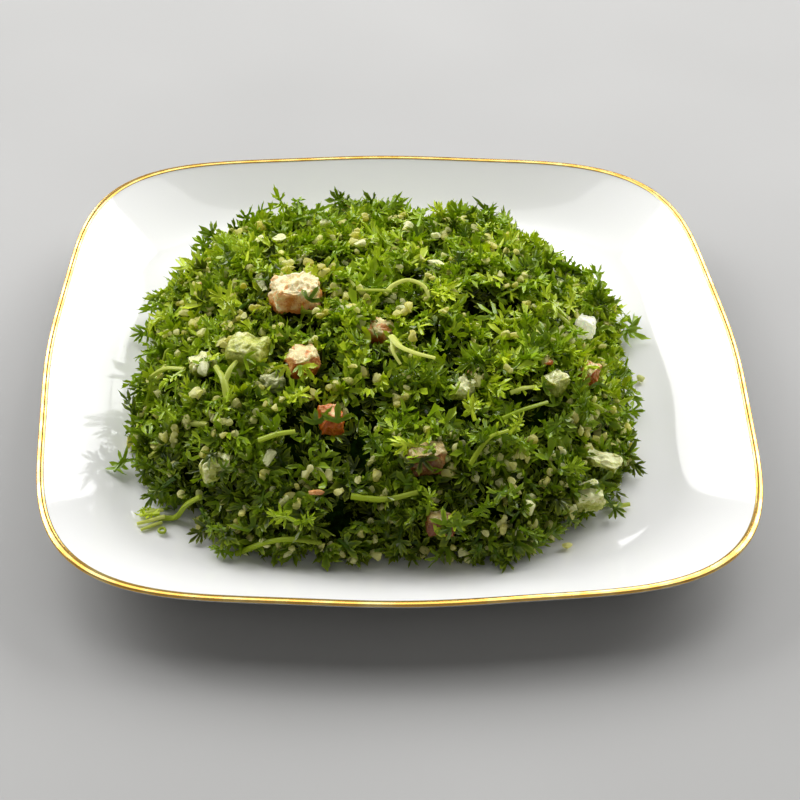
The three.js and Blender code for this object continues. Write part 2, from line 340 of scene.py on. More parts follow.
@dataclass(frozen=True)
class ThinMoistSkin(Finish):
    """A leaf, stem or grain: it takes its colour from the bake map, lets light through and is wet with oil.

    The map's first number is each piece's tint, which also carries painted shade by depth and down the
    diner's side, and its second runs along the piece, where the paler tip colour is painted light on tips and
    upper sides.
    """

    tints: Stops
    tip: Colour
    tip_light_share: float
    glow: Stops
    glow_share: float
    roughness: float = 0.42
    wet: float = 0.35
    gloss: float = 0.1
    coat_roughness: float = 0.1
    TIP_LIGHT_FALL = 1.6  # how late along the piece the tip's colour, a painted light, sets in

    def shader(self, bench: Bench) -> Socket:
        """Wires the moist skin and the light that comes through it.

        Args:
            bench: where the nodes go.

        Returns:
            The socket of both together.
        """
        uv = bench.add("ShaderNodeUVMap", uv_map=BAKE_MAP).outputs[0]
        parts = bench.add("ShaderNodeSeparateXYZ", {0: uv})
        tint, along = parts.outputs[0], parts.outputs[1]
        # Paler towards the tips and on upper sides: painted light.
        to_tip_light = bench.sum_of("MULTIPLY", bench.sum_of("POWER", along, self.TIP_LIGHT_FALL), self.tip_light_share)
        inputs = {0: to_tip_light, 6: bench.ramp(tint, *self.tints), 7: (*self.tip, 1)}
        inputs = {
            "Base Color": bench.add("ShaderNodeMix", inputs, data_type="RGBA").outputs[2],
            "Roughness": self.roughness,
            "Specular IOR Level": self.gloss,
            "Coat Weight": self.wet,
            "Coat Roughness": self.coat_roughness,
        }
        skin = bench.add("ShaderNodeBsdfPrincipled", inputs)
        through = bench.add("ShaderNodeBsdfTranslucent", {"Color": bench.ramp(tint, *self.glow)})
        inputs = {0: self.glow_share, 1: skin.outputs[0], 2: through.outputs[0]}
        return bench.add("ShaderNodeMixShader", inputs).outputs[0]


@dataclass(frozen=True)
class MoistFlesh(Finish):
    """Cut flesh with fine pits and a wet shine, paler in real pale patches and on upper faces, where the
    paleness is painted light.
    """

    deep: Colour
    flesh: Colour
    frost: Colour
    juice: float = 0.12
    # Emission: a painted glow that stands in for light coming through.
    painted_glow: float = 0.0

    def shader(self, bench: Bench) -> Socket:
        """Wires the flesh.

        Args:
            bench: where the nodes go.

        Returns:
            The shader's socket.
        """
        # The mark of real pale patches and of painted light on upper faces.
        frost = bench.add("ShaderNodeAttribute", attribute_name="frost").outputs["Fac"]
        coarse = bench.sum_of("MULTIPLY_ADD", bench.speckle(330, 3), 0.7, frost)
        broken = bench.sum_of("MULTIPLY_ADD", bench.speckle(1500, 2), 0.7, coarse)
        stops = ((0.5, self.deep), (0.76, self.flesh), (0.9, self.flesh), (1.0, self.frost))
        colour = bench.ramp(broken, *stops)
        # The emission is a painted glow, standing in for light that comes through the flesh.
        inputs = {
            "Base Color": colour,
            "Emission Color": colour,
            "Emission Strength": self.painted_glow,
            "Roughness": 0.34,
            "Specular IOR Level": 0.35,
            "Coat Weight": 0.25,
            "Coat Roughness": 0.12,
            "Subsurface Weight": self.juice,
            "Subsurface Radius": (1.0, 0.75, 0.5),
            "Subsurface Scale": 2.5 * MM,
            "Normal": bench.bump(1300, 3, 0.4 * MM, 0.8),
        }
        return bench.add("ShaderNodeBsdfPrincipled", inputs).outputs[0]


PORCELAIN = Mottled(
    "glazed_porcelain",
    Slot.PORCELAIN,
    patches=(18, 2),
    tones=((0.35, (0.855, 0.854, 0.845)), (0.65, (0.88, 0.878, 0.866))),
    settings={"Roughness": 0.07},
    relief=(55, 0, 0.04 * MM, 0.12),
)
GOLD = Mottled(
    "fired_gold",
    Slot.GILDING,
    patches=(160, 3),
    tones=((0.42, (0.93, 0.53, 0.11)), (0.66, (1.0, 0.74, 0.28))),
    settings={"Metallic": 0.82, "Roughness": 0.16},
    relief=(900, 2, 0.03 * MM, 0.25),
)
# A near-black core under the leaves: painted shade for the heap's depths.
PAINTED_SHADE_BED = Mottled(
    "salad_bed",
    Slot.PARSLEY,
    patches=(330, 4),
    tones=((0.4, (0.006, 0.014, 0.001)), (0.62, (0.02, 0.05, 0.003))),
    settings={"Roughness": 0.9, "Specular IOR Level": 0.0},
    relief=(700, 3, 0.8 * MM, 1.0),
)
FLOOR = Mottled(
    "pale_floor",
    None,
    patches=(6, 2),
    tones=((0.3, (0.42, 0.417, 0.41)), (0.7, (0.46, 0.457, 0.45))),
    settings={"Roughness": 0.75},
)
LIME_GREEN: Colour = (0.72, 0.86, 0.05)
PARSLEY = ThinMoistSkin(
    "parsley_leaf",
    Slot.PARSLEY,
    tints=(
        (0.08, (0.014, 0.036, 0.001)),
        (0.36, (0.075, 0.17, 0.001)),
        (0.64, (0.34, 0.54, 0.006)),
        (0.88, LIME_GREEN),
    ),
    tip=LIME_GREEN,
    tip_light_share=0.5,
    glow=((0.1, (0.05, 0.11, 0.001)), (0.5, (0.46, 0.66, 0.005)), (0.85, (0.94, 0.96, 0.04))),
    glow_share=0.26,
    gloss=0.15,
    wet=0.6,
    coat_roughness=0.12,
)
STALK = ThinMoistSkin(
    "parsley_stalk",
    Slot.STEM,
    tints=((0.0, (0.22, 0.34, 0.01)), (0.5, (0.44, 0.56, 0.03)), (1.0, (0.78, 0.82, 0.2))),
    tip=(0.66, 0.72, 0.12),
    tip_light_share=0.3,
    glow=((0.0, (0.35, 0.5, 0.01)), (1.0, (0.85, 0.9, 0.16))),
    glow_share=0.3,
)
WHEAT = ThinMoistSkin(
    "soaked_bulgur",
    Slot.BULGUR,
    tints=(
        (0.0, (0.8, 0.72, 0.13)),
        (0.3, (0.92, 0.88, 0.24)),
        (0.7, (0.98, 0.96, 0.38)),
        (1.0, (0.99, 0.98, 0.6)),
    ),
    tip=(0.99, 0.98, 0.52),
    tip_light_share=0.6,
    glow=((0.0, (0.92, 0.86, 0.14)), (1.0, (0.99, 0.98, 0.45))),
    glow_share=0.4,
    wet=0.18,
    gloss=0.05,
)
PALE_BITS = ThinMoistSkin(
    "onion_and_cucumber_bits",
    Slot.ONION,
    tints=((0.0, (0.45, 0.5, 0.1)), (0.45, (0.62, 0.66, 0.2)), (1.0, (0.84, 0.85, 0.42))),
    tip=(0.82, 0.83, 0.4),
    tip_light_share=0.4,
    glow=((0.0, (0.55, 0.62, 0.1)), (1.0, (0.84, 0.84, 0.34))),
    glow_share=0.42,
)
CUCUMBER_SKIN = replace(PALE_BITS, slot=Slot.CUCUMBER)
# Flesh: its deep, usual and pale colours, its juice, and a painted glow that stands in for light coming
# through.
TOMATO = MoistFlesh(
    "tomato_flesh", Slot.TOMATO, (0.55, 0.13, 0.01), (0.82, 0.4, 0.14), (0.88, 0.74, 0.36), 0.25
)
# A paler copy of the tomato flesh with a faint glow, for tomato_1's shaded front: painted light.
LIT_TOMATO = MoistFlesh(
    "tomato_heart", Slot.TOMATO, (0.66, 0.22, 0.04), (0.92, 0.54, 0.22), (0.92, 0.8, 0.46), 0.3, 0.1
)
# A darker copy of the tomato flesh for pieces deep in the heap's front: painted shade.
SHADED_TOMATO = MoistFlesh(
    "tomato_seed_bed", Slot.TOMATO, (0.2, 0.05, 0.006), (0.34, 0.16, 0.04), (0.5, 0.38, 0.14), 0.25
)
CUCUMBER = MoistFlesh(
    "cucumber_flesh", Slot.CUCUMBER, (0.34, 0.38, 0.03), (0.62, 0.65, 0.16), (0.84, 0.84, 0.42), 0.25
)
# White cucumber heart, its own colour, with a painted glow that stands in for light coming through it.
HEART_PAINTED_GLOW = MoistFlesh(
    "cucumber_heart", Slot.CUCUMBER, (0.8, 0.82, 0.5), (0.93, 0.93, 0.7), (0.98, 0.97, 0.8), 0.4, 0.36
)
ONION = MoistFlesh("onion_flesh", Slot.ONION, (0.2, 0.23, 0.06), (0.38, 0.42, 0.14), (0.56, 0.58, 0.28))


# ---- Plate ----


def rounded(corners: Sequence[Span], passes: int) -> list[Span]:
    """Cuts the corners of an open line until it is smooth.

    Args:
        corners: the line's points.
        passes: how often every corner is cut.

    Returns:
        The smooth line, with the same two ends.
    """
    line = [Vector(c) for c in corners]
    for _ in range(passes):
        cut = [p for a, b in zip(line, line[1:]) for p in (a.lerp(b, 0.25), a.lerp(b, 0.75))]
        line = [line[0], *cut, line[-1]]
    return [(p.x, p.y) for p in line]


@dataclass
class SquarePlate:
    """A rounded square plate: a flat well, a wide sloping flange and a gilt lip."""

    half_width: float
    rim_height: float
    squareness: float = 4.02
    side_ease: float = 0.0077
    well_height: float = 7 * MM
    recess: float = 2.5 * MM
    gilt_start: float = 0.98
    gilt_drop: float = 0.75 * MM
    gilt_thickness: float = 0.05 * MM
    steps: int = 256
    passes: int = 2
    over: list[Span] = field(init=False)
    under: list[Span] = field(init=False)

    def __post_init__(self) -> None:
        """Works out the smooth section: shares of the outline with heights, from the middle to the lip."""
        well, rim = self.well_height, self.rim_height
        climb = ((0.76, 0.3), (0.8, 1.4), (0.86, 4.4), (0.93, 8.6))
        flange = [(share, well + rise * MM) for share, rise in climb]
        crest = [(0.976, rim - 0.85 * MM), (0.985, rim - 0.1 * MM), (0.991, rim)]
        self.over = rounded([(0, well), (0.35, well), (0.7, well), *flange, *crest], self.passes)
        foot = [(0.6, self.recess), (0.612, 0), (0.643, 0), (0.66, 3 * MM), (0.76, 4 * MM), (0.85, 7.5 * MM)]
        drop = ((0.983, 2.4), (0.9965, 1.5), (1.0005, 0.8), (0.9985, 0.1))
        lip = [(0.93, 12.6 * MM), *((share, rim - fall * MM) for share, fall in drop), (0.991, rim)]
        self.under = rounded([(0, self.recess), (0.3, self.recess), *foot, *lip], self.passes)

    def outline(self, angle: np.ndarray) -> np.ndarray:
        """Radius of the plate's outline.

        Args:
            angle: directions from the middle, in radians.

        Returns:
            The radius in each direction.
        """
        across = np.abs(np.cos(angle)) ** self.squareness
        along = np.abs(np.sin(angle)) ** self.squareness
        ease = 1 + self.side_ease * (np.cos(8 * angle) - 1)
        return self.half_width * (across + along) ** (-1 / self.squareness) * ease

    def top(self, x: np.ndarray, y: np.ndarray) -> np.ndarray:
        """Height of the plate's upper surface.

        Args:
            x: places across.
            y: places along.

        Returns:
            The height at each place.
        """
        share = np.hypot(x, y) / self.outline(np.arctan2(y, x))
        shares, heights = zip(*self.over)
        return np.interp(share, shares, heights)

    def turned(self, name: str, section: Sequence[Span], closed: bool) -> Mesh:
        """Turns a section round the axis and draws it out to the rounded square.

        Args:
            name: the mesh's name.
            section: shares of the outline with heights, anticlockwise seen with the axis on the left.
            closed: whether the section is a ring of its own, or starts and ends on the axis.

        Returns:
            The mesh.
        """
        even = np.linspace(0, math.tau, self.steps, endpoint=False)
        angles = even + 0.1 * np.sin(4 * even)
        outline = self.outline(angles)
        sketch = bmesh.new()
        rows = []
        for share, height in section:
            ring = share * outline
            places = zip(ring * np.cos(angles), ring * np.sin(angles))
            whole = [sketch.verts.new((x, y, height)) for x, y in places] if share > 0 else None
            rows.append(whole or [sketch.verts.new((0, 0, height))] * self.steps)
        join(sketch, rows + rows[:1] if closed else rows)
        bmesh.ops.recalc_face_normals(sketch, faces=sketch.faces)
        mesh = drawn(name, sketch)
        mesh.shade_smooth()
        return mesh

    def gilt_section(self) -> list[Span]:
        """The ring of the gilding's section, from inside over the lip and back underneath.

        Returns:
            The ring of shares with heights.
        """
        drop = self.rim_height - self.gilt_drop
        inside = [p for p in self.over if p[0] >= self.gilt_start]
        outside = [p for p in self.under[-2::-1] if p[0] > self.over[-1][0] and p[1] >= drop]
        line = [Vector((share * self.half_width, height)) for share, height in (*inside, *outside)]
        outward = []
        for before, after in zip([line[0], *line], [*line[1:], line[-1]]):
            run = (after - before).normalized()
            outward.append(Vector((-run.y, run.x)))
        skin = [p + n * self.gilt_thickness for p, n in zip(line, outward)]
        back = [p - n * self.gilt_thickness for p, n in zip(line, outward)]
        return [(p.x / self.half_width, p.y) for p in skin + back[::-1]]

    def build(self) -> None:
        """Makes the plate and its gilding."""
        dish = self.turned("porcelain_plate", self.under + self.over[-2::-1], False)
        hand_over(linked(dish.name, dish, PORCELAIN), PORCELAIN, "plate")
        band = self.turned("gilt_band", self.gilt_section(), True)
        hand_over(linked(band.name, band, GOLD), GOLD)


def join(sketch: bmesh.types.BMesh, rings: Sequence[Sequence[bmesh.types.BMVert]]) -> None:
    """Fills the gaps between closed rings with faces.

    Args:
        sketch: what the rings are in.
        rings: rings of as many points each. One that is the same point all round is a pole.
    """
    for low, high in zip(rings, rings[1:]):
        for i in range(len(low)):
            j = (i + 1) % len(low)
            sketch.faces.new(dict.fromkeys((low[i], low[j], high[j], high[i])))


# ---- Heap ----


@dataclass
class HeapForm:
    """The rounded form that the salad is heaped in."""

    plate: SquarePlate
    centre: Vector = Vector((-2 * MM, -7 * MM, 0))
    radius: float = 81.5 * MM
    height: float = 39.5 * MM
    shoulder: float = 2.7
    edge: float = 0.55
    clump: float = 4.0 * MM
    broad_spacing: float = 15 * MM
    fine_spacing: float = 6 * MM
    foot_fade: float = 4 * MM
    rows: int = 46
    steps: int = 168

    def outline(self, angle: float) -> float:
        """Radius of the heap's foot.

        Args:
            angle: direction from the heap's middle, in radians.

        Returns:
            The radius, which bulges towards the plate's corners.
        """
        corners = 3.8 * math.cos(4 * angle - 2.86)
        lean = 1.9 * math.cos(angle + 2.72)
        nibbles = 1.25 * math.cos(8 * angle - 2.55)
        return self.radius + (corners + lean + nibbles) * MM

    def top(self, x: float, y: float) -> float:
        """Height of the full form over a place in plan, or of the plate beside it.

        Args:
            x: the place across.
            y: the place along.

        Returns:
            The height.
        """
        across, along = x - self.centre.x, y - self.centre.y
        share = math.hypot(across, along) / self.outline(math.atan2(along, across))
        plate = float(self.plate.top(np.array(x), np.array(y))) + AIR
        if share >= 1:
            return plate
        rise = (1 - share**self.shoulder) ** self.edge * self.height
        return max(plate, self.plate.well_height + AIR + rise)

    def seat(self, x: float, y: float, heading: float, lean: float, rise: float) -> Matrix:
        """A seat on the form, with +Z straight out of it and +Y along it.

        Args:
            x: its place across.
            y: its place along.
            heading: where +Y points in plan, in degrees from +X.
            lean: how far +Y rises out of the surface, in degrees.
            rise: how far it stands off the surface.

        Returns:
            The seat.
        """
        step = 2 * MM
        slope_x = (self.top(x + step, y) - self.top(x - step, y)) / (2 * step)
        slope_y = (self.top(x, y + step) - self.top(x, y - step)) / (2 * step)
        outward = Vector((-slope_x, -slope_y, 1)).normalized()
        turn = math.radians(heading)
        level = Vector((math.cos(turn), math.sin(turn), 0))
        along = (level - outward * level.dot(outward)).normalized()
        across = along.cross(outward)
        place = Vector((x, y, self.top(x, y))) + outward * rise
        basis = Matrix((across, along, outward)).transposed().to_4x4()
        return Matrix.Translation(place) @ basis @ Matrix.Rotation(math.radians(lean), 4, "X")

    def clumps(self, place: Vector) -> float:
        """How far the salad stands out of its even form.

        Args:
            place: the place on the form.

        Returns:
            The distance, below zero in a hollow.
        """
        broad = noise.noise(place / self.broad_spacing)
        fine = noise.noise(place / self.fine_spacing + Vector((7, 3, 1)))
        return self.clump * (1.3 * broad + 0.6 * fine)

    def shell(self, name: str, inset: float, solid: bool = False) -> Mesh:
        """Makes the form's surface, with its clumps along the surface's own direction.

        Args:
            name: the mesh's name.
            inset: how far it lies inside the full form.
            solid: whether it is closed underneath.

        Returns:
            The mesh.
        """
        sketch = bmesh.new()
        low = self.plate.well_height + AIR
        rings = []
        for row in range(self.rows + 1):
            share = math.sin(row / self.rows * math.pi / 2)
            rise = (1 - share**self.shoulder) ** self.edge * (self.height - inset)
            ring = []
            for step in range(self.steps if row else 1):
                angle = step / self.steps * math.tau
                out = share * (self.outline(angle) - inset)
                place = self.centre + Vector((out * math.cos(angle), out * math.sin(angle), low + rise))
                ring.append(sketch.verts.new(place))
            rings.append(ring if row else ring * self.steps)
        for inner, outer in zip(rings, rings[1:]):
            for i in range(self.steps):
                j = (i + 1) % self.steps
                sketch.faces.new(dict.fromkeys((inner[i], outer[i], outer[j], inner[j])))
        sketch.normal_update()
        for vertex, normal in [(v, v.normal.copy()) for v in sketch.verts]:
            fade = min(1.0, (vertex.co.z - low) / self.foot_fade)
            vertex.co += normal * self.clumps(vertex.co) * fade
        if solid:
            sketch.faces.new(rings[-1][::-1])
        mesh = drawn(name, sketch)
        mesh.shade_smooth()
        return mesh


# ---- Cut leaves, stems and grains ----


class Cutting:
    """One small loose thing, drawn lobe by lobe. +Y runs along it and +Z is its upper face."""

    HALF_THICKNESS = 0.09 * MM
    WIDEST_LOBE = 0.135  # half a lobe's width, as a share of its length
    LOBE_SHARE = 0.2  # half a lobe's width over the angle between two lobes
    FLAT = 0.01  # the bend in radians below which a blade lies flat
    SIDEWAYS = Vector((0.13, 0.21, 1))  # a stem's corners start square to this and to its run

    def __init__(self, seed: int = 0) -> None:
        """Starts with nothing cut.

        Args:
            seed: the seed of its own draws.
        """
        self.points: list[Vector] = []
        self.faces: list[tuple[int, ...]] = []
        self.along: list[float] = []
        self.chance = random.Random(seed)

    def point(self, place: Vector, along: float) -> int:
        """Adds a point.

        Args:
            place: where it is.
            along: how far along the whole cutting it counts for its colour, from 0 to 1.

        Returns:
            Its number.
        """
        self.points.append(place)
        self.along.append(along)
        return len(self.points) - 1

    def add_sides(self, upper: bool, faces: list[tuple[int, ...]]) -> None:
        """Adds faces of the upper side, or of the lower side turned round."""
        self.faces += faces if upper else [face[::-1] for face in faces]

    def blade(
        self, seat: Matrix, length: float, lobes: int, fan: float, bend: float, cup: float, span: Span
    ) -> None:
        """Adds a leaflet's blade: lobes with a tooth on each side, webbed at their feet, closed and thin.

        Args:
            seat: its base, with +Y along it and +Z its upper face.
            length: from its base to its farthest tip.
            lobes: how many lobes it has.
            fan: the angle from one lobe to the next, in radians.
            bend: how far it curls along its length, in radians.
            cup: how far its sides rise, as a share of its length.
            span: its part of the cutting's colour run.
        """
        draw = self.chance.uniform

        def at(heading: float, across: float, along: float, lift: float, edge: float) -> int:
            """Adds a point of the bent and cupped blade.

            Args:
                heading: the lobe's direction.
                across: how far beside the lobe's middle it is.
                along: how far along the lobe it is.
                lift: how far above the blade it is.
                edge: how much it belongs to the tips, from 0 to 1, where the painted tip light falls.

            Returns:
                Its number.
            """
            x = across * math.cos(heading) - along * math.sin(heading)
            y = across * math.sin(heading) + along * math.cos(heading)
            turn = bend * y
            arc = Vector((0, math.sin(turn), 1 - math.cos(turn)))
            run = Vector((0, y, 0)) if abs(bend) < self.FLAT else arc / bend
            up = Vector((0, -math.sin(turn), math.cos(turn)))
            place = (run + Vector((x, 0, 0)) + up * (cup * x * x + lift)) * length
            return self.point(seat @ place, span[0] + (span[1] - span[0]) * edge)

        def doubled(heading: float, along: float, lift: float, edge: float) -> tuple[int, int]:
            """Adds a point of the upper and one of the lower face."""
            half = self.HALF_THICKNESS / length
            return at(heading, 0, along, lift + half, edge), at(heading, 0, along, lift - half, edge)

        first = -(lobes - 1) / 2
        base = at(0, 0, 0, 0, 0)
        palm = doubled(0, 0.2, draw(-0.05, 0.03), 0.1)
        notches = []
        for number in range(lobes + 1):
            deep = 0.2 if number in (0, lobes) else draw(0.15, 0.29)
            notches.append(at((first + number - 0.5) * fan, 0, deep, draw(-0.05, 0.08), 0.4))
        for number in range(lobes):
            heading = (first + number) * fan + draw(-0.12, 0.12)
            reach = (1 - 0.13 * abs(first + number)) * draw(0.82, 1.08)
            droop = draw(-0.3, 0.26)
            wide = min(self.WIDEST_LOBE, self.LOBE_SHARE * fan) * draw(0.75, 1.3)
            rib = doubled(heading, reach * 0.52, droop * 0.3 - draw(0.02, 0.13), 0.15)
            ring = [notches[number]]
            for hand in (1, -1):
                tooth = at(heading, hand * wide, reach * draw(0.62, 0.8), droop * 0.8 + draw(-0.08, 0.12), 1)
                inner = at(heading, hand * wide * 0.55, reach * 0.82, droop * 0.7, 0.7)
                ring += [tooth, inner] if hand > 0 else [inner, tooth]
                if hand > 0:
                    ring.append(at(heading, 0, reach, droop, 1))
            ring.append(notches[number + 1])
            for side in (0, 1):
                loop = [palm[side], *ring]
                self.add_sides(side == 0, [(rib[side], a, b) for a, b in zip(loop, [*loop[1:], loop[0]])])
        for side in (0, 1):
            self.add_sides(side == 0, [(base, notches[0], palm[side]), (base, palm[side], notches[-1])])

    def tube(
        self,
        path: Sequence[Vector],
        widths: Sequence[float],
        sides: int,
        rib: float,
        span: Span,
        flatness: float = 1.0,
    ) -> None:
        """Adds a stem along a path.

        Args:
            path: the middle of the stem.
            widths: its width at each point of the path.
            sides: how many corners its section has.
            rib: how much every other corner is drawn in.
            span: its part of the cutting's colour run.
            flatness: its height over its width.
        """
        rings = []
        last = len(path) - 1
        for i, (place, width) in enumerate(zip(path, widths)):
            run = (path[min(i + 1, last)] - path[max(i - 1, 0)]).normalized()
            across = run.cross(self.SIDEWAYS).normalized()
            up = across.cross(run)
            ring = []
            for corner in range(sides):
                angle = corner / sides * math.tau
                radius = width / 2 * (1 - rib * (corner % 2))
                offset = across * math.cos(angle) + up * math.sin(angle) * flatness
                ring.append(self.point(place + offset * radius, span[0] + (span[1] - span[0]) * i / last))
            rings.append(ring)
        for low, high in zip(rings, rings[1:]):
            for i in range(sides):
                j = (i + 1) % sides
                self.faces.append((low[i], high[i], high[j], low[j]))
        self.faces += [tuple(rings[0]), tuple(rings[-1][::-1])]

    def mesh(self, name: str) -> Mesh:
        """The cutting as a mesh.

        Args:
            name: the mesh's name.

        Returns:
            A closed mesh with the point attribute "along".
        """
        mesh = bpy.data.meshes.new(name)
        mesh.from_pydata(self.points, [], self.faces)
        mark(mesh, "along", self.along)
        mesh.shade_smooth()
        mesh.update()
        return mesh


@dataclass
class ParsleyChopper:
    """Cuts curly parsley into sprigs, leaflets and shreds, no two alike."""

    chance: random.Random
    leaflet_length: float = 5.9 * MM
    curl: float = 1.5
    cup: float = 0.9
    fan_width: float = 2.15

    def spread(self, most: float) -> float:
        """A number between minus and plus the most."""
        return self.chance.uniform(-most, most)

    def fresh(self) -> Cutting:
        """An empty cutting with draws of its own."""
        return Cutting(self.chance.randrange(1000))

    def seat(self, place: Vector, heading: float, looseness: float) -> Matrix:
        """Where a leaflet grows out of a stalk.

        Args:
            place: where on the stalk.
            heading: its direction from the stalk's own, in radians.
            looseness: how far it may tip and roll, in radians.

        Returns:
            The seat.
        """
        tip = Matrix.Rotation(self.spread(looseness), 4, "X")
        roll = Matrix.Rotation(self.spread(looseness * 1.4), 4, "Y")
        return Matrix.Translation(place) @ Matrix.Rotation(heading, 4, "Z") @ tip @ roll

    def add_leaflet(self, cutting: Cutting, base: Matrix, size: float, lobes: int, span: Span) -> None:
        """Adds a leaflet with its own curl.

        Args:
            cutting: what it is added to.
            base: the leaflet's seat.
            size: its length over the usual one.
            lobes: how many lobes it has.
            span: its part of the cutting's colour run.
        """
        fan = self.fan_width / max(1, lobes - 0.7) * self.chance.uniform(0.85, 1.15)
        bend, cup = self.spread(self.curl), self.spread(self.cup)
        cutting.blade(base, self.leaflet_length * size, lobes, fan, bend, cup, span)

    def leaflet(self, lobes: int) -> Cutting:
        """A loose leaflet.

        Args:
            lobes: how many lobes it has.

        Returns:
            The cutting, from its stalk at the origin along +Y.
        """
        cutting = self.fresh()
        self.add_leaflet(cutting, Matrix.Identity(4), self.chance.uniform(0.65, 1.15), lobes, (0.1, 1))
        return cutting

    def shred(self) -> Cutting:
        """A torn bit of leaf with one to three lobes.

        Returns:
            The cutting.
        """
        cutting = self.fresh()
        size = self.chance.uniform(0.45, 0.8)
        self.add_leaflet(cutting, Matrix.Identity(4), size, self.chance.choice((1, 2, 3)), (0.1, 1))
        return cutting

    def frond(self, length: float, width: float, size: float, pairs: int) -> Cutting:
        """A bent stalk with leaflets in uneven pairs and one at its end.

        Args:
            length: the stalk's length.
            width: its width at the cut end.
            size: the end leaflet's length over the usual one.
            pairs: how many pairs of leaflets it has.

        Returns:
            The cutting, from its cut end at the origin along +Y.
        """
        cutting = self.fresh()
        bend = self.spread(0.8)
        path = [
            Vector((length * 0.1 * math.sin(t * 3 * bend), length * t, length * bend * 0.4 * t * t))
            for t in (0, 0.35, 0.7, 1)
        ]
        cutting.tube(path, [width, width * 0.85, width * 0.65, width * 0.35], 5, 0, (0, 0.2))
        for pair in range(pairs):
            for hand in (1, -1):
                place = path[-1].lerp(path[-2 - pair], self.chance.uniform(0.75, 1.0))
                seat = self.seat(place, hand * self.chance.uniform(0.7, 1.25), 0.55)
                self.add_leaflet(cutting, seat, size * self.chance.uniform(0.6, 0.95), 3, (0.15, 1))
        end = self.seat(path[-1], self.spread(0.3), 0.4)
        self.add_leaflet(cutting, end, size * self.chance.uniform(0.9, 1.15), 5, (0.15, 1))
        return cutting

    def sprig(self) -> Cutting:
        """A sprig, as chopping leaves it, with one or two pairs of leaflets."""
        pairs = self.chance.choice((1, 2, 2))
        return self.frond(self.chance.uniform(5.5, 9) * MM, 1.3 * MM, 0.95, pairs)

    def whole_leaf(self, reach: float) -> Cutting:
        """A whole young leaf, as long as its reach: leaflets in pairs along a stalk."""
        return self.frond(reach * 0.6, 1.4 * MM, reach * 0.5 / self.leaflet_length, 2)

    def young_leaf(self) -> Cutting:
        """A whole young leaf of any usual length."""
        return self.whole_leaf(self.chance.uniform(10, 15) * MM)

    def stalk(self) -> Cutting:
        """A short cut length of stem with grooves along it.

        Returns:
            The cutting.
        """
        cutting = self.fresh()
        length = self.chance.uniform(4, 9) * MM
        bow = self.spread(0.22)
        path = [Vector((0, length * t, length * bow * math.sin(math.pi * t))) for t in (0, 0.33, 0.67, 1)]
        width = self.chance.uniform(1.2, 2.1) * MM
        cutting.tube(path, [width, width * 0.92, width * 0.9, width * 0.84], 8, 0.16, (0, 1))
        return cutting


@dataclass
class Crumbler:
    """Makes cracked bits with uneven flat faces: bulgur grains and crumbs of onion, cucumber and tomato."""

    chance: random.Random
    subdivisions: int = 2

    def direction(self) -> Vector:
        """A direction drawn evenly from all round.

        Returns:
            The direction, one long.
        """
        while True:
            arrow = Vector([self.chance.uniform(-1, 1) for _ in range(3)])
            if 0.1 < arrow.length < 1:
                return arrow.normalized()

    def add_bit(self, cutting: Cutting, middle: Vector, size: Vector, cuts: int, depth: float) -> Cutting:
        """Adds one bit to a cutting.

        Args:
            cutting: what it is added to.
            middle: the bit's middle.
            size: its size across, along and up.
            cuts: how many flat faces it is cut with.
            depth: how deep the deepest of them goes, as a share of its size.

        Returns:
            The same cutting.
        """
        ball = bmesh.new()
        bmesh.ops.create_icosphere(ball, subdivisions=self.subdivisions, radius=1)
        planes = [(self.direction(), 1 - self.chance.uniform(0.4, 1) * depth) for _ in range(cuts)]
        turn = self.direction().rotation_difference(self.direction()).to_matrix()
        first = len(cutting.points)
        for vertex in ball.verts:
            arrow = turn @ vertex.co
            reach = min([1.0] + [gap / arrow.dot(face) for face, gap in planes if arrow.dot(face) > 0.3])
            place = middle + Vector([arrow[i] * size[i] * reach / 2 for i in range(3)])
            # A point's colour runs with its height on the bit, with random mottling: painted light on the
            # upper side.
            cutting.point(place, min(1.0, max(0.0, 0.5 + 0.5 * arrow.z + self.chance.uniform(-0.3, 0.3))))
        cutting.faces += [tuple(first + v.index for v in face.verts) for face in ball.faces]
        ball.free()
        return cutting

    def grain(self) -> Cutting:
        """A soaked grain of cracked wheat, or two or three that cling together.

        Returns:
            The cutting.
        """
        cutting = Cutting(self.chance.randrange(1000))
        middle = Vector((0, 0, 0))
        for _ in range(self.chance.choice((1, 1, 2, 2, 3))):
            length = self.chance.uniform(2.6, 4.8) * MM
            wide, high = self.chance.uniform(0.55, 1.0), self.chance.uniform(0.5, 0.9)
            self.add_bit(cutting, middle, Vector((length * wide, length, length * high)), 9, 0.68)
            middle = middle + self.direction() * length * 0.4
        return cutting

    def crumb(self) -> Cutting:
        """A small cut bit of onion or cucumber.

        Returns:
            The cutting.
        """
        cutting = Cutting(self.chance.randrange(1000))
        side = self.chance.uniform(2.2, 4.8) * MM
        size = Vector((side, side * self.chance.uniform(0.6, 1.3), side * self.chance.uniform(0.3, 0.7)))
        return self.add_bit(cutting, Vector((0, 0, 0)), size, 9, 0.6)


class KindBox:
    """The different cuttings of one kind, as a collection that the strewing picks from."""

    def __init__(self, name: str, count: int, cut: Callable[[], Cutting]) -> None:
        """Cuts the kinds.

        Args:
            name: the collection's name.
            count: how many different ones there are.
            cut: makes one.
        """
        self.collection = bpy.data.collections.new(name)
        for number in range(count):
            mesh = cut().mesh(f"{name}_{number}")
            self.collection.objects.link(bpy.data.objects.new(mesh.name, mesh))

    def discard(self) -> None:
        """Removes the kinds once they have been strewn."""
        for obj in list(self.collection.objects):
            mesh = obj.data
            bpy.data.objects.remove(obj)
            bpy.data.meshes.remove(mesh)
        bpy.data.collections.remove(self.collection)


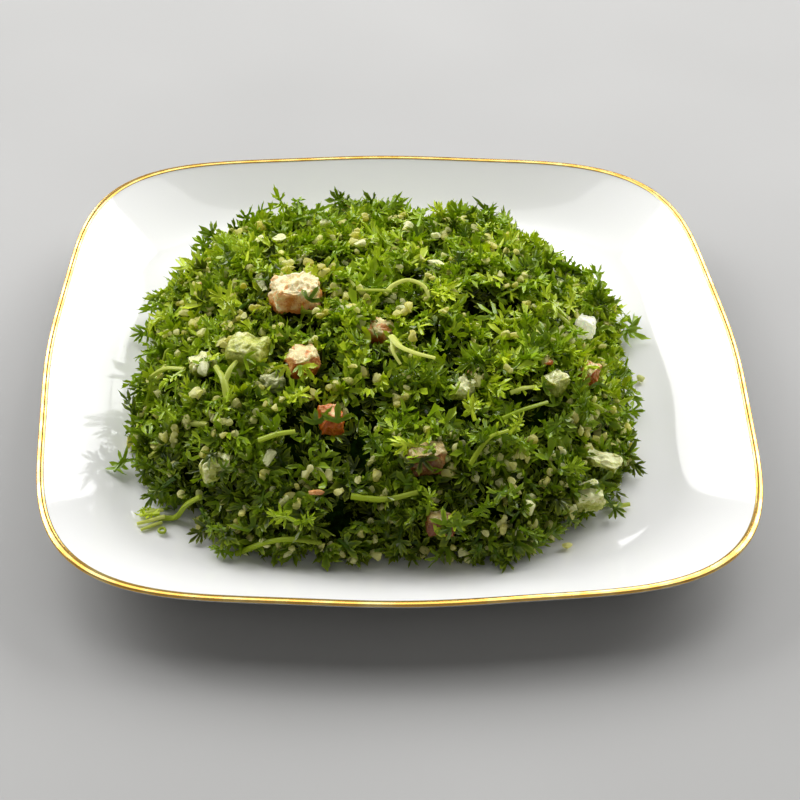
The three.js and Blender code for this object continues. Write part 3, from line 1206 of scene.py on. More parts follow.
class Bunch:
    """Cuttings laid one by one, which become one mesh."""

    def __init__(self, *laid: tuple[Cutting, Matrix, float]) -> None:
        """Lays what it is given.

        Args:
            *laid: cuttings with their seats and tints.
        """
        self.whole = Cutting()
        self.tints: list[float] = []
        self.pieces: list[int] = []
        for cutting, seat, tint in laid:
            self.lay(cutting, seat, tint)

    def lay(self, cutting: Cutting, seat: Matrix, tint: float) -> None:
        """Lays one cutting.

        Args:
            cutting: the cutting.
            seat: its place and turn.
            tint: its own tint, from 0 to 1.
        """
        first = len(self.whole.points)
        number = self.pieces[-1] + 1 if self.pieces else 0
        for place, along in zip(cutting.points, cutting.along):
            self.whole.point(seat @ place, along)
        self.whole.faces += [tuple(first + i for i in face) for face in cutting.faces]
        self.tints += [tint] * len(cutting.points)
        self.pieces += [number] * len(cutting.points)

    def mesh(self, name: str) -> Mesh:
        """The whole bunch as a mesh.

        Args:
            name: the mesh's name.

        Returns:
            A mesh with the point attributes "along", "tint" and "piece".
        """
        mesh = self.whole.mesh(name)
        mark(mesh, "tint", self.tints)
        mark(mesh, "piece", self.pieces, "INT")
        return mesh


# ---- Strewing ----


@dataclass(frozen=True)
class Strewing:
    """How the cuttings of one kind lie on the heap. Lengths are in mm and angles in radians."""

    name: str
    kind: str
    count: int
    seed: int
    inset: float
    finish: ThinMoistSkin = PARSLEY
    edge: float = LEAF_EDGE
    lean: Span = (0.1, 0.9)
    roll: float = 0.9
    lift: Span = (-2.6, 1.4)
    clearance: float = 1
    tint: Span = (0.0, 1.0)
    # Tints darkened deeper in the layer and down the diner's side: painted shade.
    depth_painted_shade: float = 0.0
    front_painted_shade: float = 0.0
    scale: Span = (0.85, 1.15)


LAYERS = (
    # The deepest layer's tints are kept low: painted shade.
    Strewing("deep_leaflets", "fan", 1200, 11, 7, clearance=-4, tint=(0.0, 0.12)),
    Strewing(
        "parsley_sprigs",
        "sprig",
        count=650,
        seed=12,
        inset=3.4,
        lean=(0.0, 0.75),
        clearance=3,
        depth_painted_shade=0.65,
        front_painted_shade=0.55,
    ),
    Strewing("toothed_leaflets", "trefoil", 3700, 13, 3.4, lean=(0.0, 1.2), depth_painted_shade=0.65, front_painted_shade=0.55),
    Strewing("fingered_leaflets", "fan", 2700, 14, 3.0, lean=(0.0, 1.2), depth_painted_shade=0.65, front_painted_shade=0.55),
    Strewing(
        "parsley_shreds",
        "shred",
        count=4200,
        seed=15,
        inset=2.8,
        lean=(-0.2, 1.2),
        clearance=-1,
        depth_painted_shade=0.55,
        front_painted_shade=0.4,
    ),
    Strewing(
        "parsley_fronds",
        "frond",
        count=150,
        seed=19,
        inset=2.4,
        lean=(0.05, 0.55),
        roll=0.6,
        lift=(-0.5, 1.6),
        clearance=4,
        tint=(0.1, 0.95),
        front_painted_shade=0.5,
    ),
    Strewing(
        "cut_stalks",
        "stalk",
        count=80,
        seed=16,
        inset=3,
        finish=STALK,
        edge=STALK_EDGE,
        lean=(-0.1, 0.35),
        lift=(-1, 1.4),
        clearance=2,
    ),
    Strewing("bulgur_grains", "grain", 1500, 17, 2.6, WHEAT, GRAIN_EDGE, lean=(-0.6, 0.6), lift=(-1.8, 2.2)),
    Strewing("onion_bits", "crumb", 200, 18, 2.8, PALE_BITS, CRUMB_EDGE, lean=(-0.7, 0.7), lift=(-2.5, 1.2)),
)


class StrewTree:
    """The Geometry Nodes tree that strews kinds of cuttings over a surface and makes them real mesh."""

    NUMBERS = (
        "Density", "Clearance", "Smallest", "Largest", "Least Lean", "Most Lean", "Roll",
        "Lowest", "Highest", "Least Tint", "Most Tint", "Depth Share", "Shade",
    )
    MANY = 9999  # the highest number that a kind is picked by, well above the count of kinds
    PAINTED_SHADE_AXIS = (0.0, 0.6, 0.8)  # up and away from the diner: the painted shade lifts along this way
    FULL_PAINTED_SHADE_BELOW = -30 * MM  # along that way: the full painted shade below this, and none above the next
    NO_PAINTED_SHADE_ABOVE = 8 * MM

    def __init__(self) -> None:
        """Builds the tree with its named inputs."""
        self.tree = bpy.data.node_groups.new("strew_cuttings", "GeometryNodeTree")
        self.bench = Bench(self.tree)
        kinds = {"Surface": "Geometry", "Kinds": "Collection", "Finish": "Material", "Seed": "Int"}
        kinds |= dict.fromkeys(self.NUMBERS, "Float")
        new_socket = self.tree.interface.new_socket
        self.identifiers = {
            name: new_socket(name, in_out="INPUT", socket_type="NodeSocket" + kind).identifier
            for name, kind in kinds.items()
        }
        new_socket("Cuttings", in_out="OUTPUT", socket_type="NodeSocketGeometry")
        self.given = self.bench.add("NodeGroupInput").outputs
        self.wire()

    def chance(self, low: Any, high: Any, seed: int) -> Socket:
        """A number for each place, drawn evenly from the low to the high with a seed of its own."""
        return self.bench.add("FunctionNodeRandomValue", {2: low, 3: high, 8: seed}).outputs[1]

    def turn(self, rotation: Socket, axis: Colour, angle: Socket) -> Socket:
        """Turns a rotation about one of its own axes.

        Args:
            rotation: the rotation so far.
            axis: the axis.
            angle: the angle in radians.

        Returns:
            The new rotation's socket.
        """
        by = self.bench.add("FunctionNodeAxisAngleToRotation", {"Axis": axis, "Angle": angle}).outputs[0]
        inputs = {"Rotation": rotation, "Rotate By": by}
        return self.bench.add("FunctionNodeRotateRotation", inputs, rotation_space="LOCAL").outputs[0]

    def mark(self, geometry: Socket, name: str, kind: str, value: Socket) -> Socket:
        """Writes an attribute of a kind on every laid cutting, and gives the cuttings' socket."""
        inputs = {"Geometry": geometry, "Name": name, "Value": value}
        return self.bench.add(
            "GeometryNodeStoreNamedAttribute", inputs, data_type=kind, domain="INSTANCE"
        ).outputs[0]

    def wire(self) -> None:
        """Wires places, turns, picks, draws and the finish."""
        bench, given = self.bench, self.given
        room = bench.add("GeometryNodeInputNamedAttribute", {"Name": "room"}, data_type="FLOAT").outputs[0]
        free = bench.sum_of("GREATER_THAN", room, given["Clearance"])
        density = bench.sum_of("MULTIPLY", free, given["Density"])
        inputs = {"Mesh": given["Surface"], "Density": density, "Seed": given["Seed"]}
        places = bench.add("GeometryNodeDistributePointsOnFaces", inputs).outputs
        height = self.chance(0.0, 1.0, 1)
        rise = bench.sum_of("SUBTRACT", given["Highest"], given["Lowest"])
        lift = bench.sum_of("MULTIPLY_ADD", height, rise, given["Lowest"])
        inputs = {0: places["Normal"], "Scale": lift}
        offset = bench.add("ShaderNodeVectorMath", inputs, operation="SCALE").outputs[0]
        inputs = {"Geometry": places["Points"], "Offset": offset}
        points = bench.add("GeometryNodeSetPosition", inputs).outputs[0]
        rotation = self.turn(places["Rotation"], (0, 0, 1), self.chance(0.0, math.tau, 2))
        rotation = self.turn(rotation, (1, 0, 0), self.chance(given["Least Lean"], given["Most Lean"], 3))
        rolled = bench.sum_of("MULTIPLY", self.chance(-1.0, 1.0, 4), given["Roll"])
        rotation = self.turn(rotation, (0, 1, 0), rolled)
        inputs = {4: 0, 5: self.MANY, 8: 5}
        pick = bench.add("FunctionNodeRandomValue", inputs, data_type="INT").outputs[2]
        inputs = {"Collection": given["Kinds"], "Separate Children": True, "Reset Children": True}
        inputs = {
            "Points": points,
            "Instance": bench.add("GeometryNodeCollectionInfo", inputs).outputs[0],
            "Pick Instance": True,
            "Instance Index": pick,
            "Rotation": rotation,
            "Scale": self.chance(given["Smallest"], given["Largest"], 6),
        }
        laid = bench.add("GeometryNodeInstanceOnPoints", inputs).outputs[0]
        own = self.chance(given["Least Tint"], given["Most Tint"], 7)
        # Deeper in the layer, darker: painted shade by depth.
        shaded_by_depth = bench.add("ShaderNodeMix", {0: given["Depth Share"], 2: own, 3: height}).outputs[0]
        tinted = self.mark(laid, "tint", "FLOAT", bench.sum_of("MULTIPLY", shaded_by_depth, self.painted_shade_share()))
        numbered = self.mark(tinted, "piece", "INT", bench.add("GeometryNodeInputIndex").outputs[0])
        real = bench.add("GeometryNodeRealizeInstances", {"Geometry": numbered}).outputs[0]
        inputs = {"Geometry": real, "Material": given["Finish"]}
        dressed = bench.add("GeometryNodeSetMaterial", inputs).outputs[0]
        bench.add("NodeGroupOutput", {0: dressed})

    def painted_shade_share(self) -> Socket:
        """How much of its tint a cutting keeps, as painted shade: all of it on top and behind, less down the
        diner's side.

        Returns:
            The share's socket.
        """
        inputs = {0: self.bench.add("GeometryNodeInputPosition").outputs[0], 1: self.PAINTED_SHADE_AXIS}
        side = self.bench.add("ShaderNodeVectorMath", inputs, operation="DOT_PRODUCT").outputs["Value"]
        inputs = {"Value": side, 1: self.FULL_PAINTED_SHADE_BELOW, 2: self.NO_PAINTED_SHADE_ABOVE, 3: 1.0, 4: 0.0}
        dark = self.bench.add("ShaderNodeMapRange", inputs).outputs[0]
        return self.bench.sum_of("SUBTRACT", 1.0, self.bench.sum_of("MULTIPLY", dark, self.given["Shade"]))

    def strew(self, surface: Mesh, kinds: KindBox, how: Strewing) -> Mesh:
        """Strews one kind over a surface, which it uses up.

        Args:
            surface: a mesh with the point attribute "room".
            kinds: the cuttings to pick from.
            how: how they lie.

        Returns:
            The cuttings as one plain mesh.
        """
        density = how.count / sum(face.area for face in surface.polygons)
        lowest, highest = (lift * MM for lift in how.lift)
        numbers = (
            density, how.clearance * MM, *how.scale, *how.lean, how.roll,
            lowest, highest, *how.tint, how.depth_painted_shade, how.front_painted_shade,
        )
        values = {"Kinds": kinds.collection, "Finish": how.finish.material(), "Seed": how.seed}
        holder = linked(how.name + "_places", surface)
        modifier = holder.modifiers.new("strew", "NODES")
        modifier.node_group = self.tree
        for name, value in (values | dict(zip(self.NUMBERS, numbers))).items():
            modifier[self.identifiers[name]] = value
        graph = bpy.context.evaluated_depsgraph_get()
        evaluated = holder.evaluated_get(graph)
        mesh = bpy.data.meshes.new_from_object(evaluated, preserve_all_data_layers=True, depsgraph=graph)
        mesh.name = how.name
        bpy.data.objects.remove(holder)
        bpy.data.meshes.remove(surface)
        return mesh


@dataclass
class Settler:
    """Lets loose pieces come to rest: none in the plate, and none above the heap's top."""

    plate: SquarePlate
    ceiling: float

    def settle(self, mesh: Mesh) -> None:
        """Moves every piece up or down as a whole until it is clear.

        Args:
            mesh: a mesh with the point attribute "piece".
        """
        places = np.zeros(len(mesh.vertices) * 3, np.float32)
        mesh.vertices.foreach_get("co", places)
        places = places.reshape(-1, 3)
        piece = read(mesh, "piece", np.int32)
        above = places[:, 2] - self.plate.top(places[:, 0], places[:, 1]) - AIR
        lowest = np.full(piece.max() + 1, np.inf)
        np.minimum.at(lowest, piece, above)
        places[:, 2] += np.maximum(0, -lowest)[piece]
        highest = np.full(piece.max() + 1, -np.inf)
        np.maximum.at(highest, piece, places[:, 2])
        places[:, 2] -= np.maximum(0, highest - self.ceiling)[piece]
        mesh.vertices.foreach_set("co", places.ravel())
        mesh.update()

    def finish(self, mesh: Mesh, edge: float) -> Mesh:
        """Settles a mesh of cuttings, writes its bake map and sets its edges.

        Args:
            mesh: a mesh with the point attributes "along", "tint" and "piece", which are used up.
            edge: the angle above which an edge stays sharp, in radians.

        Returns:
            The same mesh.
        """
        self.settle(mesh)
        corners = np.zeros(len(mesh.loops), np.int32)
        mesh.loops.foreach_get("vertex_index", corners)
        layer = mesh.uv_layers.get(BAKE_MAP) or mesh.uv_layers.new(name=BAKE_MAP)
        pairs = np.stack([read(mesh, "tint"), read(mesh, "along")], 1)
        layer.uv.foreach_set("vector", pairs[corners].astype(np.float32).ravel())
        for name in ("piece", "tint", "along"):
            mesh.attributes.remove(mesh.attributes[name])
        mesh.shade_smooth()
        mesh.set_sharp_from_angle(angle=edge)
        return mesh


# ---- Diced vegetables ----


@dataclass
class DicedPiece:
    """A cut cube of tomato, cucumber or onion: the CAD solid, rounded and given its flesh's relief."""

    node: str
    finish: MoistFlesh
    relief: float = 0.7 * MM
    paleness: float = 0.0
    cuts: int = 7
    easing: int = 8
    leaf_bits: int | None = None
    hidden: bool = False
    WARP = 1.5 * MM
    WARP_SPACING = 6.5 * MM
    FOLD_SPACING = 3.4 * MM
    CREASE_SPACING = 1.3 * MM
    PIT_SPACING = 2 * MM
    PATCH_SPACING = 3.2 * MM
    SHIFTS = (Vector((11, 5, 8)), Vector((2, 14, 6)), Vector((7, 1, 13)))

    def build(self) -> None:
        """Makes the piece in its CAD solid's place."""
        source = bmesh.new()
        source.from_mesh(frame["nodes"][self.node].data)
        bmesh.ops.remove_doubles(source, verts=source.verts, dist=0.001 * MM)
        bmesh.ops.subdivide_edges(source, edges=source.edges, cuts=self.cuts, use_grid_fill=True)
        for _ in range(self.easing):
            ways = dict.fromkeys(("use_axis_x", "use_axis_y", "use_axis_z"), True)
            bmesh.ops.smooth_vert(source, verts=source.verts, factor=0.5, **ways)
        source.normal_update()
        mesh = drawn(self.node + "_flesh", source)
        self.carve(mesh, *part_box(self.node))
        mesh.shade_smooth()
        hand_over(linked("diced_" + self.node, mesh, self.finish), self.finish, self.node)

    def carve(self, mesh: Mesh, low: Vector, high: Vector) -> None:
        """Fits the rounded mesh back into the solid's box, roughens it and marks where it is pale: in
        patches, and on upper faces as painted light.

        Args:
            mesh: the rounded mesh.
            low: the box's lowest corner.
            high: the box's highest corner.
        """
        middle = (low + high) / 2
        reach = [max(abs(v.co[i] - middle[i]) for v in mesh.vertices) for i in range(3)]
        stretch = [((high[i] - low[i]) / 2 + 0.25 * MM) / reach[i] for i in range(3)]
        normals = [v.normal.copy() for v in mesh.vertices]
        frost = []
        for vertex, normal in zip(mesh.vertices, normals):
            even = Vector([middle[i] + (vertex.co[i] - middle[i]) * stretch[i] for i in range(3)])
            pulls = [noise.noise(even / self.WARP_SPACING + shift) for shift in self.SHIFTS]
            folds = noise.noise(even / self.FOLD_SPACING) + 0.75 * noise.noise(even / self.CREASE_SPACING)
            pits = abs(noise.noise(even / self.PIT_SPACING + Vector((3, 1, 4))))
            vertex.co = even + Vector(pulls) * self.WARP - normal * self.relief * (0.9 - folds + pits * 1.6)
            patch = noise.noise(even / self.PATCH_SPACING + Vector((9, 2, 6)))
            upper = (even.z - middle.z) / (high.z - low.z)
            # Paler in patches, and, as painted light, on faces that look up and near the top.
            frost.append(0.32 * normal.z + 0.6 * patch + 0.4 * upper + 0.02 + self.paleness)
        bottom, top = (pick(v.co.z for v in mesh.vertices) for pick in (min, max))
        for vertex in mesh.vertices:
            vertex.co.z = low.z + (vertex.co.z - bottom) / (top - bottom) * (high.z - low.z)
        mark(mesh, "frost", frost)
        mesh.update()


OWN_WAYS = {
    "tomato_1": {
        "finish": LIT_TOMATO,
        "paleness": -0.04,
        "easing": 30,
        "leaf_bits": 4,
        "cuts": 11,
        "relief": 1.0 * MM,
    },
    "tomato_2": {"paleness": -0.12, "leaf_bits": 3},
    "tomato_3": {"paleness": -0.6, "leaf_bits": 2},
    "tomato_4": {"easing": 12, "leaf_bits": 3},
    "tomato_5": {"finish": SHADED_TOMATO, "leaf_bits": 12, "hidden": True},
    "tomato_6": {"paleness": -0.32, "leaf_bits": 1},
    "tomato_7": {"finish": SHADED_TOMATO, "paleness": -0.2, "leaf_bits": 12, "hidden": True},
    "cucumber_1": {"paleness": -0.5, "easing": 12, "leaf_bits": 4},
    "cucumber_4": {"leaf_bits": 1},
    "cucumber_6": {"finish": HEART_PAINTED_GLOW, "easing": 14, "leaf_bits": 0},
}


def diced_pieces() -> list[DicedPiece]:
    """Every diced piece, one for each of the frame's nodes of its kind.

    Returns:
        The pieces.
    """
    return [
        DicedPiece(node, **{"finish": finish, **OWN_WAYS.get(node, {})})
        for kind, finish in (("tomato_", TOMATO), ("cucumber_", CUCUMBER), ("onion_", ONION))
        for node in sorted(frame["nodes"])
        if node.startswith(kind)
    ]


# ---- The salad ----


@dataclass
class Salad:
    """The heap: its bed, dark with painted shade, layers of chopped parsley and bulgur, and the diced
    vegetables among them.
    """

    form: HeapForm
    settler: Settler
    dice: list[DicedPiece]
    seed: int = 20
    bed_inset: float = 9 * MM
    hollow_spacing: float = 8.5 * MM
    cover: float = 0.3
    SEEN_SIDE = Vector((0, -2.2 * MM, 0.5 * MM))  # from a piece's middle towards the diner and up
    COVERED, OPEN = 4.0, 1.6  # a hidden and a seen piece's half diagonal over its cleared radius

    def __post_init__(self) -> None:
        """Starts the draws."""
        self.chance = random.Random(self.seed)
        self.chopper = ParsleyChopper(self.chance)
        self.crumbler = Crumbler(self.chance)

    def mark_room(self, surface: Mesh) -> None:
        """Writes how far each point of a surface is from the nearest diced piece or dark hollow.

        Args:
            surface: the surface, which gets the point attribute "room".
        """
        spots = []
        for piece in self.dice:
            low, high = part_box(piece.node)
            middle = (low + high) / 2 + self.SEEN_SIDE
            spots.append((middle, (high - low).length / 2 / (self.COVERED if piece.hidden else self.OPEN)))
        spots += [(Vector((x, y, z)) * MM, radius * MM) for x, y, z, radius in BARE_PLACES]
        room = []
        for vertex in surface.vertices:
            hollow = noise.noise(vertex.co / self.hollow_spacing + Vector((5, 8, 2)))
            open_ground = (hollow + self.cover) * self.hollow_spacing
            gaps = [(vertex.co - middle).length - radius for middle, radius in spots]
            room.append(min(open_ground * 2, *gaps))
        mark(surface, "room", room)

    def build_bed(self) -> None:
        """Makes the core that everything lies on, near black with painted shade."""
        bed = self.form.shell("salad_bed", self.bed_inset, solid=True)
        hand_over(linked(bed.name, bed, PAINTED_SHADE_BED), PAINTED_SHADE_BED, "salad_heap")

    def build_layers(self) -> None:
        """Makes the parsley from the deepest layer to the top, then the bulgur and the small pale bits."""
        chop, crumble = self.chopper, self.crumbler
        cuts = {
            "trefoil": (16, lambda: chop.leaflet(3)),
            "fan": (12, lambda: chop.leaflet(5)),
            "sprig": (12, chop.sprig),
            "shred": (12, chop.shred),
            "frond": (10, chop.young_leaf),
            "stalk": (6, chop.stalk),
            "grain": (10, crumble.grain),
            "crumb": (10, crumble.crumb),
        }
        kinds = {name: KindBox(name, count, cut) for name, (count, cut) in cuts.items()}
        tree = StrewTree()
        for how in LAYERS:
            surface = self.form.shell(how.name + "_surface", how.inset * MM)
            self.mark_room(surface)
            mesh = self.settler.finish(tree.strew(surface, kinds[how.kind], how), how.edge)
            hand_over(linked(how.name, mesh), how.finish, "salad_heap")
        for kind in kinds.values():
            kind.discard()


# ---- Laid one by one ----


@dataclass(frozen=True)
class Stem:
    """A cut stem: points of its route in plan with their rise over the heap's form, and its width, in mm."""

    route: tuple[tuple[float, float, float], ...]
    width: float
    tint: float = 0.5
    flatness: float = 0.8


@dataclass(frozen=True)
class LaidLeaf:
    """A leaf that stands out: its cut end's place in plan. Lengths are in mm, heading and lean in degrees."""

    x: float
    y: float
    heading: float
    lean: float
    reach: float
    tint: float
    rise: float


@dataclass(frozen=True)
class LooseBit:
    """A small bit of vegetable: its place in plan, rise and size in mm, and how pale it is."""

    x: float
    y: float
    rise: float
    size: tuple[float, float, float]
    finish: MoistFlesh
    paleness: float = 0.1


# Middles and radii in mm of the hollows and cleared places.
BARE_PLACES = (
    (40.4, -49, 36.8, 8),
    (-16.5, -64.4, 35.5, 7.5),
    (21.9, -77.5, 25.7, 7),
    (-10.3, -51.7, 41.2, 7.5),
    (-18.7, -79, 22, 6),
    (15.8, -32, 45.2, 6),
    (-31, -56.1, 38.5, 6.5),
    (-62.3, -60, 21.8, 6),
    (4.6, -51.3, 41.9, 6.5),
    (4, -12, 46.5, 5.5),
    (27.6, -6.7, 44.8, 6),
    (-43.5, -75.1, 21.9, 5),
    (-32, -20.5, 45, 5.5),
    (-6, -27, 44.5, 4.5),
    (-34.5, -29.9, 43.8, 4.5),
    (34.3, -8, 43.5, 5),
    (-4.5, -38.4, 44.6, 4.5),
    (-59.2, -22.9, 37.1, 4),
    (-57.4, -60.7, 25.6, 4.5),
    (-50.1, -69.2, 24.1, 4.5),
    (-25.4, -79.9, 20.5, 4),
    (-63.9, -51.3, 26.8, 4),
    (71, -27, 16, 6),
    (-84, -42, 10, 8),
    (-70, -68, 9, 5),
    (-44, -85, 11, 3.5),
    (-35, -87, 11, 3.5),
    (-26, -87, 11, 3.5),
)

STEMS = [
    Stem(*row)
    for row in (
        (((-50.6, -46.3, 0.2), (-52, -39.8, 2), (-54.5, -32.7, 0.6)), 2.3, 0.7),
        (((-51.8, -41, 1.4), (-50.4, -37, 2), (-48.4, -33, 0.8)), 1.7, 0.8),
        (((-4, -9.4, 0.8), (-1.5, -6.6, 2), (3, -4.6, 2.4), (7.5, -7.2, 2.4), (9.6, -11.6, 1.2)), 1.8, 1),
        (((-2, -8.8, 1.6), (-7, -8.2, 1.4), (-12.5, -6.6, 0.4)), 1.3, 0.7),
        (((-2.9, -29.5, 1.6), (-0.6, -34.8, 2.6), (4, -37.6, 2.6), (9.5, -38.4, 1.6)), 2.3, 1, 0.5),
        (((-2.6, -31, 1.8), (-2.6, -36, 1.8), (-0.6, -40, 0.9)), 1.4, 1, 0.6),
        (((-15.5, -75.5, 0.4), (-6, -77.1, 2.4), (3.2, -75.8, 1.2)), 2.4, 0.45),
        (((-48.2, -79.4, 0.4), (-40, -81.2, 0.9), (-32.9, -82, 1.1), (-23.9, -82.8, 0.9)), 2.1, 0.35),
        (((-71.5, -65, 1), (-66.4, -64.8, 1), (-63, -65.9, 0.9), (-58.5, -67, 0.2)), 2.2, 0.4),
        (((-70, -62.2, 1.8), (-74, -62.8, 1.4), (-77, -63.6, 0.6)), 1.4, 0.95),
        (((-69.5, -65, 1.8), (-73.5, -66.4, 1.4), (-77.3, -67.6, 0.6)), 1.6, 1),
        (((-70.3, -66.5, 0.9), (-73.3, -68.2, 0.7), (-76, -70, 0.4)), 1.3, 0.85),
        (((56, -63, 1.4), (61.9, -62.4, 2), (67.6, -61.5, 1.4)), 2, 0.75),
        (((28, -56.6, 1), (34.5, -53.4, 2.2), (42, -48.2, 1)), 1.6, 0.25),
        (((-41.4, -60.7, 1), (-36, -61.2, 2.4), (-31.2, -60.2, 1)), 2.1, 0.55),
        (((-71, 12.5, 0.6), (-75, 20, 2.2), (-73, 30, 0.8)), 1.6, 0.75),
        (((31, -47.8, 0.8), (34.5, -46.6, 2), (38, -44.2, 0.8)), 1.7, 0.8),
        (((-66, 34, 0.4), (-69.5, 38, 2.2), (-71.5, 42.5, 2.2)), 2.2, 0.7),
        (((55.5, -14.5, 1.6), (51, -12.5, 2.6), (46.5, -9, 2.2)), 1.7, 0.75),
        (((18, -70, 0.8), (23.5, -64, 2.4), (29.5, -60.5, 2)), 1.6, 0.5),
        (((-76, -22, 1.4), (-70.5, -25.5, 2.4), (-64, -29.5, 1.4)), 1.7, 0.8),
    )
]

LEAVES = [
    LaidLeaf(*row)
    for row in (
        (-8, -5, 142, 20, 14.5, 0.7, 2),
        (-5.5, -3.5, 100, 24, 15, 0.75, 2.4),
        (-2.5, -2, 62, 22, 13.5, 0.68, 2),
        (7.5, -6, 350, 14, 11, 1, 3.6),
        (8.5, -8, 20, 24, 9.5, 1, 3),
        (9.5, -10, 330, 10, 8.5, 1, 2.6),
        (-71, -64, 185, 2, 6.5, 0.95, 0.8),
        (-72.5, -62, 165, 4, 5, 0.8, 0.6),
        (-49, -80.5, 170, 6, 7.5, 0.5, 0.6),
        (50, -11.5, 150, 14, 12.5, 0.8, 2.8),
        (51, -9.5, 95, 22, 11.5, 0.85, 2.6),
        (59, 48, 85, 30, 10, 0.75, 0),
        (40, 2, 95, 24, 9, 0.35, 0.4),
        (19, 4, 92, 34, 9.5, 0.3, 0),
        (20, -58, 100, 18, 9, 0.85, 0.8),
        (30, -61, 330, 6, 8.5, 0.6, 1),
        (29.5, -60.5, 60, 16, 8, 0.8, 1),
        (41, -57, 55, 18, 9, 0.45, 0.6),
        (66, -38, 30, 14, 8.5, 0.55, 0.4),
        (44, -65, 10, 10, 8.5, 0.7, 0.8),
        (19, -80, 65, 16, 8.5, 0.55, 0.6),
        (32, -80, 325, 4, 8, 0.5, 0.4),
        (21, -84, 265, 0, 7, 0.3, 0.4),
        (-7, -66, 125, 18, 10, 0.4, 0.8),
        (6.5, -66, 172, 14, 10.5, 0.85, 1.2),
        (-27, -47, 205, 10, 9.5, 0.9, 1),
        (-31.5, -79, 150, 14, 9, 0.75, 0.8),
        (-31.5, -79.5, 40, 14, 7.5, 0.7, 0.8),
        (6, -79.5, 82, 16, 9, 0.7, 0.8),
        (-63.5, -29.5, 200, 12, 9, 0.75, 0.8),
        (-66, -45, 130, 16, 9.5, 0.7, 0.6),
        (-54, -51, 45, 12, 10.5, 0.75, 1),
        (-58, -69, 280, 6, 7.5, 0.3, 0.6),
        (-50, -76, 190, 6, 7.5, 0.5, 0.8),
        (-74, -8, 160, 14, 9.5, 0.6, 0.4),
        (-50, 20, 120, 18, 10, 0.7, 0.6),
        (-30, 46, 100, 24, 9.5, 0.6, 0.4),
        (8, 30, 80, 22, 10, 0.65, 0.4),
        (36, 40, 70, 24, 9.5, 0.6, 0.4),
        (-12, 62, 95, 30, 9.5, 0.6, 0),
    )
]

BITS = [
    LooseBit(*row)
    for row in (
        (-25.5, -74.6, 1.4, (2.2, 5.5, 2.6), TOMATO, -0.22),
        (-62, 10.9, 0.4, (3.5, 5, 3), TOMATO, -0.15),
        (20, -41, -0.4, (3, 2.6, 1.8), TOMATO, -0.2),
        (44.4, -32.4, -0.3, (4.6, 2.6, 1.8), TOMATO, -0.4),
        (-38.3, -65.3, 0.4, (7, 4.5, 1.6), ONION),
        (34.9, -76, 0.6, (6.5, 5, 3), CUCUMBER),
        (-15.6, -16, 0.2, (7.5, 5, 2), ONION),
        (1.5, -16, 0.4, (5.5, 4, 2), ONION),
        (12.5, 6.5, 0.8, (3, 7, 2.4), CUCUMBER),
        (-58, -32, 0.6, (8, 5, 2.2), ONION),
        (-55, -63, 0.2, (9, 5, 2), ONION),
        (-36.6, 25, 0.8, (5, 7, 3), CUCUMBER),
        (-43, 28, 0.8, (4.5, 4, 3), CUCUMBER),
        (-21.5, 34, 0.8, (4.5, 5, 3), CUCUMBER),
        (-11.3, 17, 1.2, (3, 6, 2.6), CUCUMBER),
        (5.1, 31, 0.8, (4, 5, 3), CUCUMBER),
        (13.5, 23, 1, (4, 4, 2.6), CUCUMBER),
    )
]


def smooth_path(points: Sequence[Vector], steps: int) -> list[Vector]:
    """Draws a smooth line through points.

    Args:
        points: the points.
        steps: how many steps lead from each to the next.

    Returns:
        The line's points.
    """
    ends = [points[0] * 2 - points[1], *points, points[-1] * 2 - points[-2]]
    line = []
    for a, b, c, d in zip(ends, ends[1:], ends[2:], ends[3:]):
        for step in range(steps):
            t = step / steps
            square = a * 2 - b * 5 + c * 4 - d
            cube = b * 3 - a - c * 3 + d
            line.append((b * 2 + (c - a) * t + square * t**2 + cube * t**3) / 2)
    return [*line, points[-1].copy()]


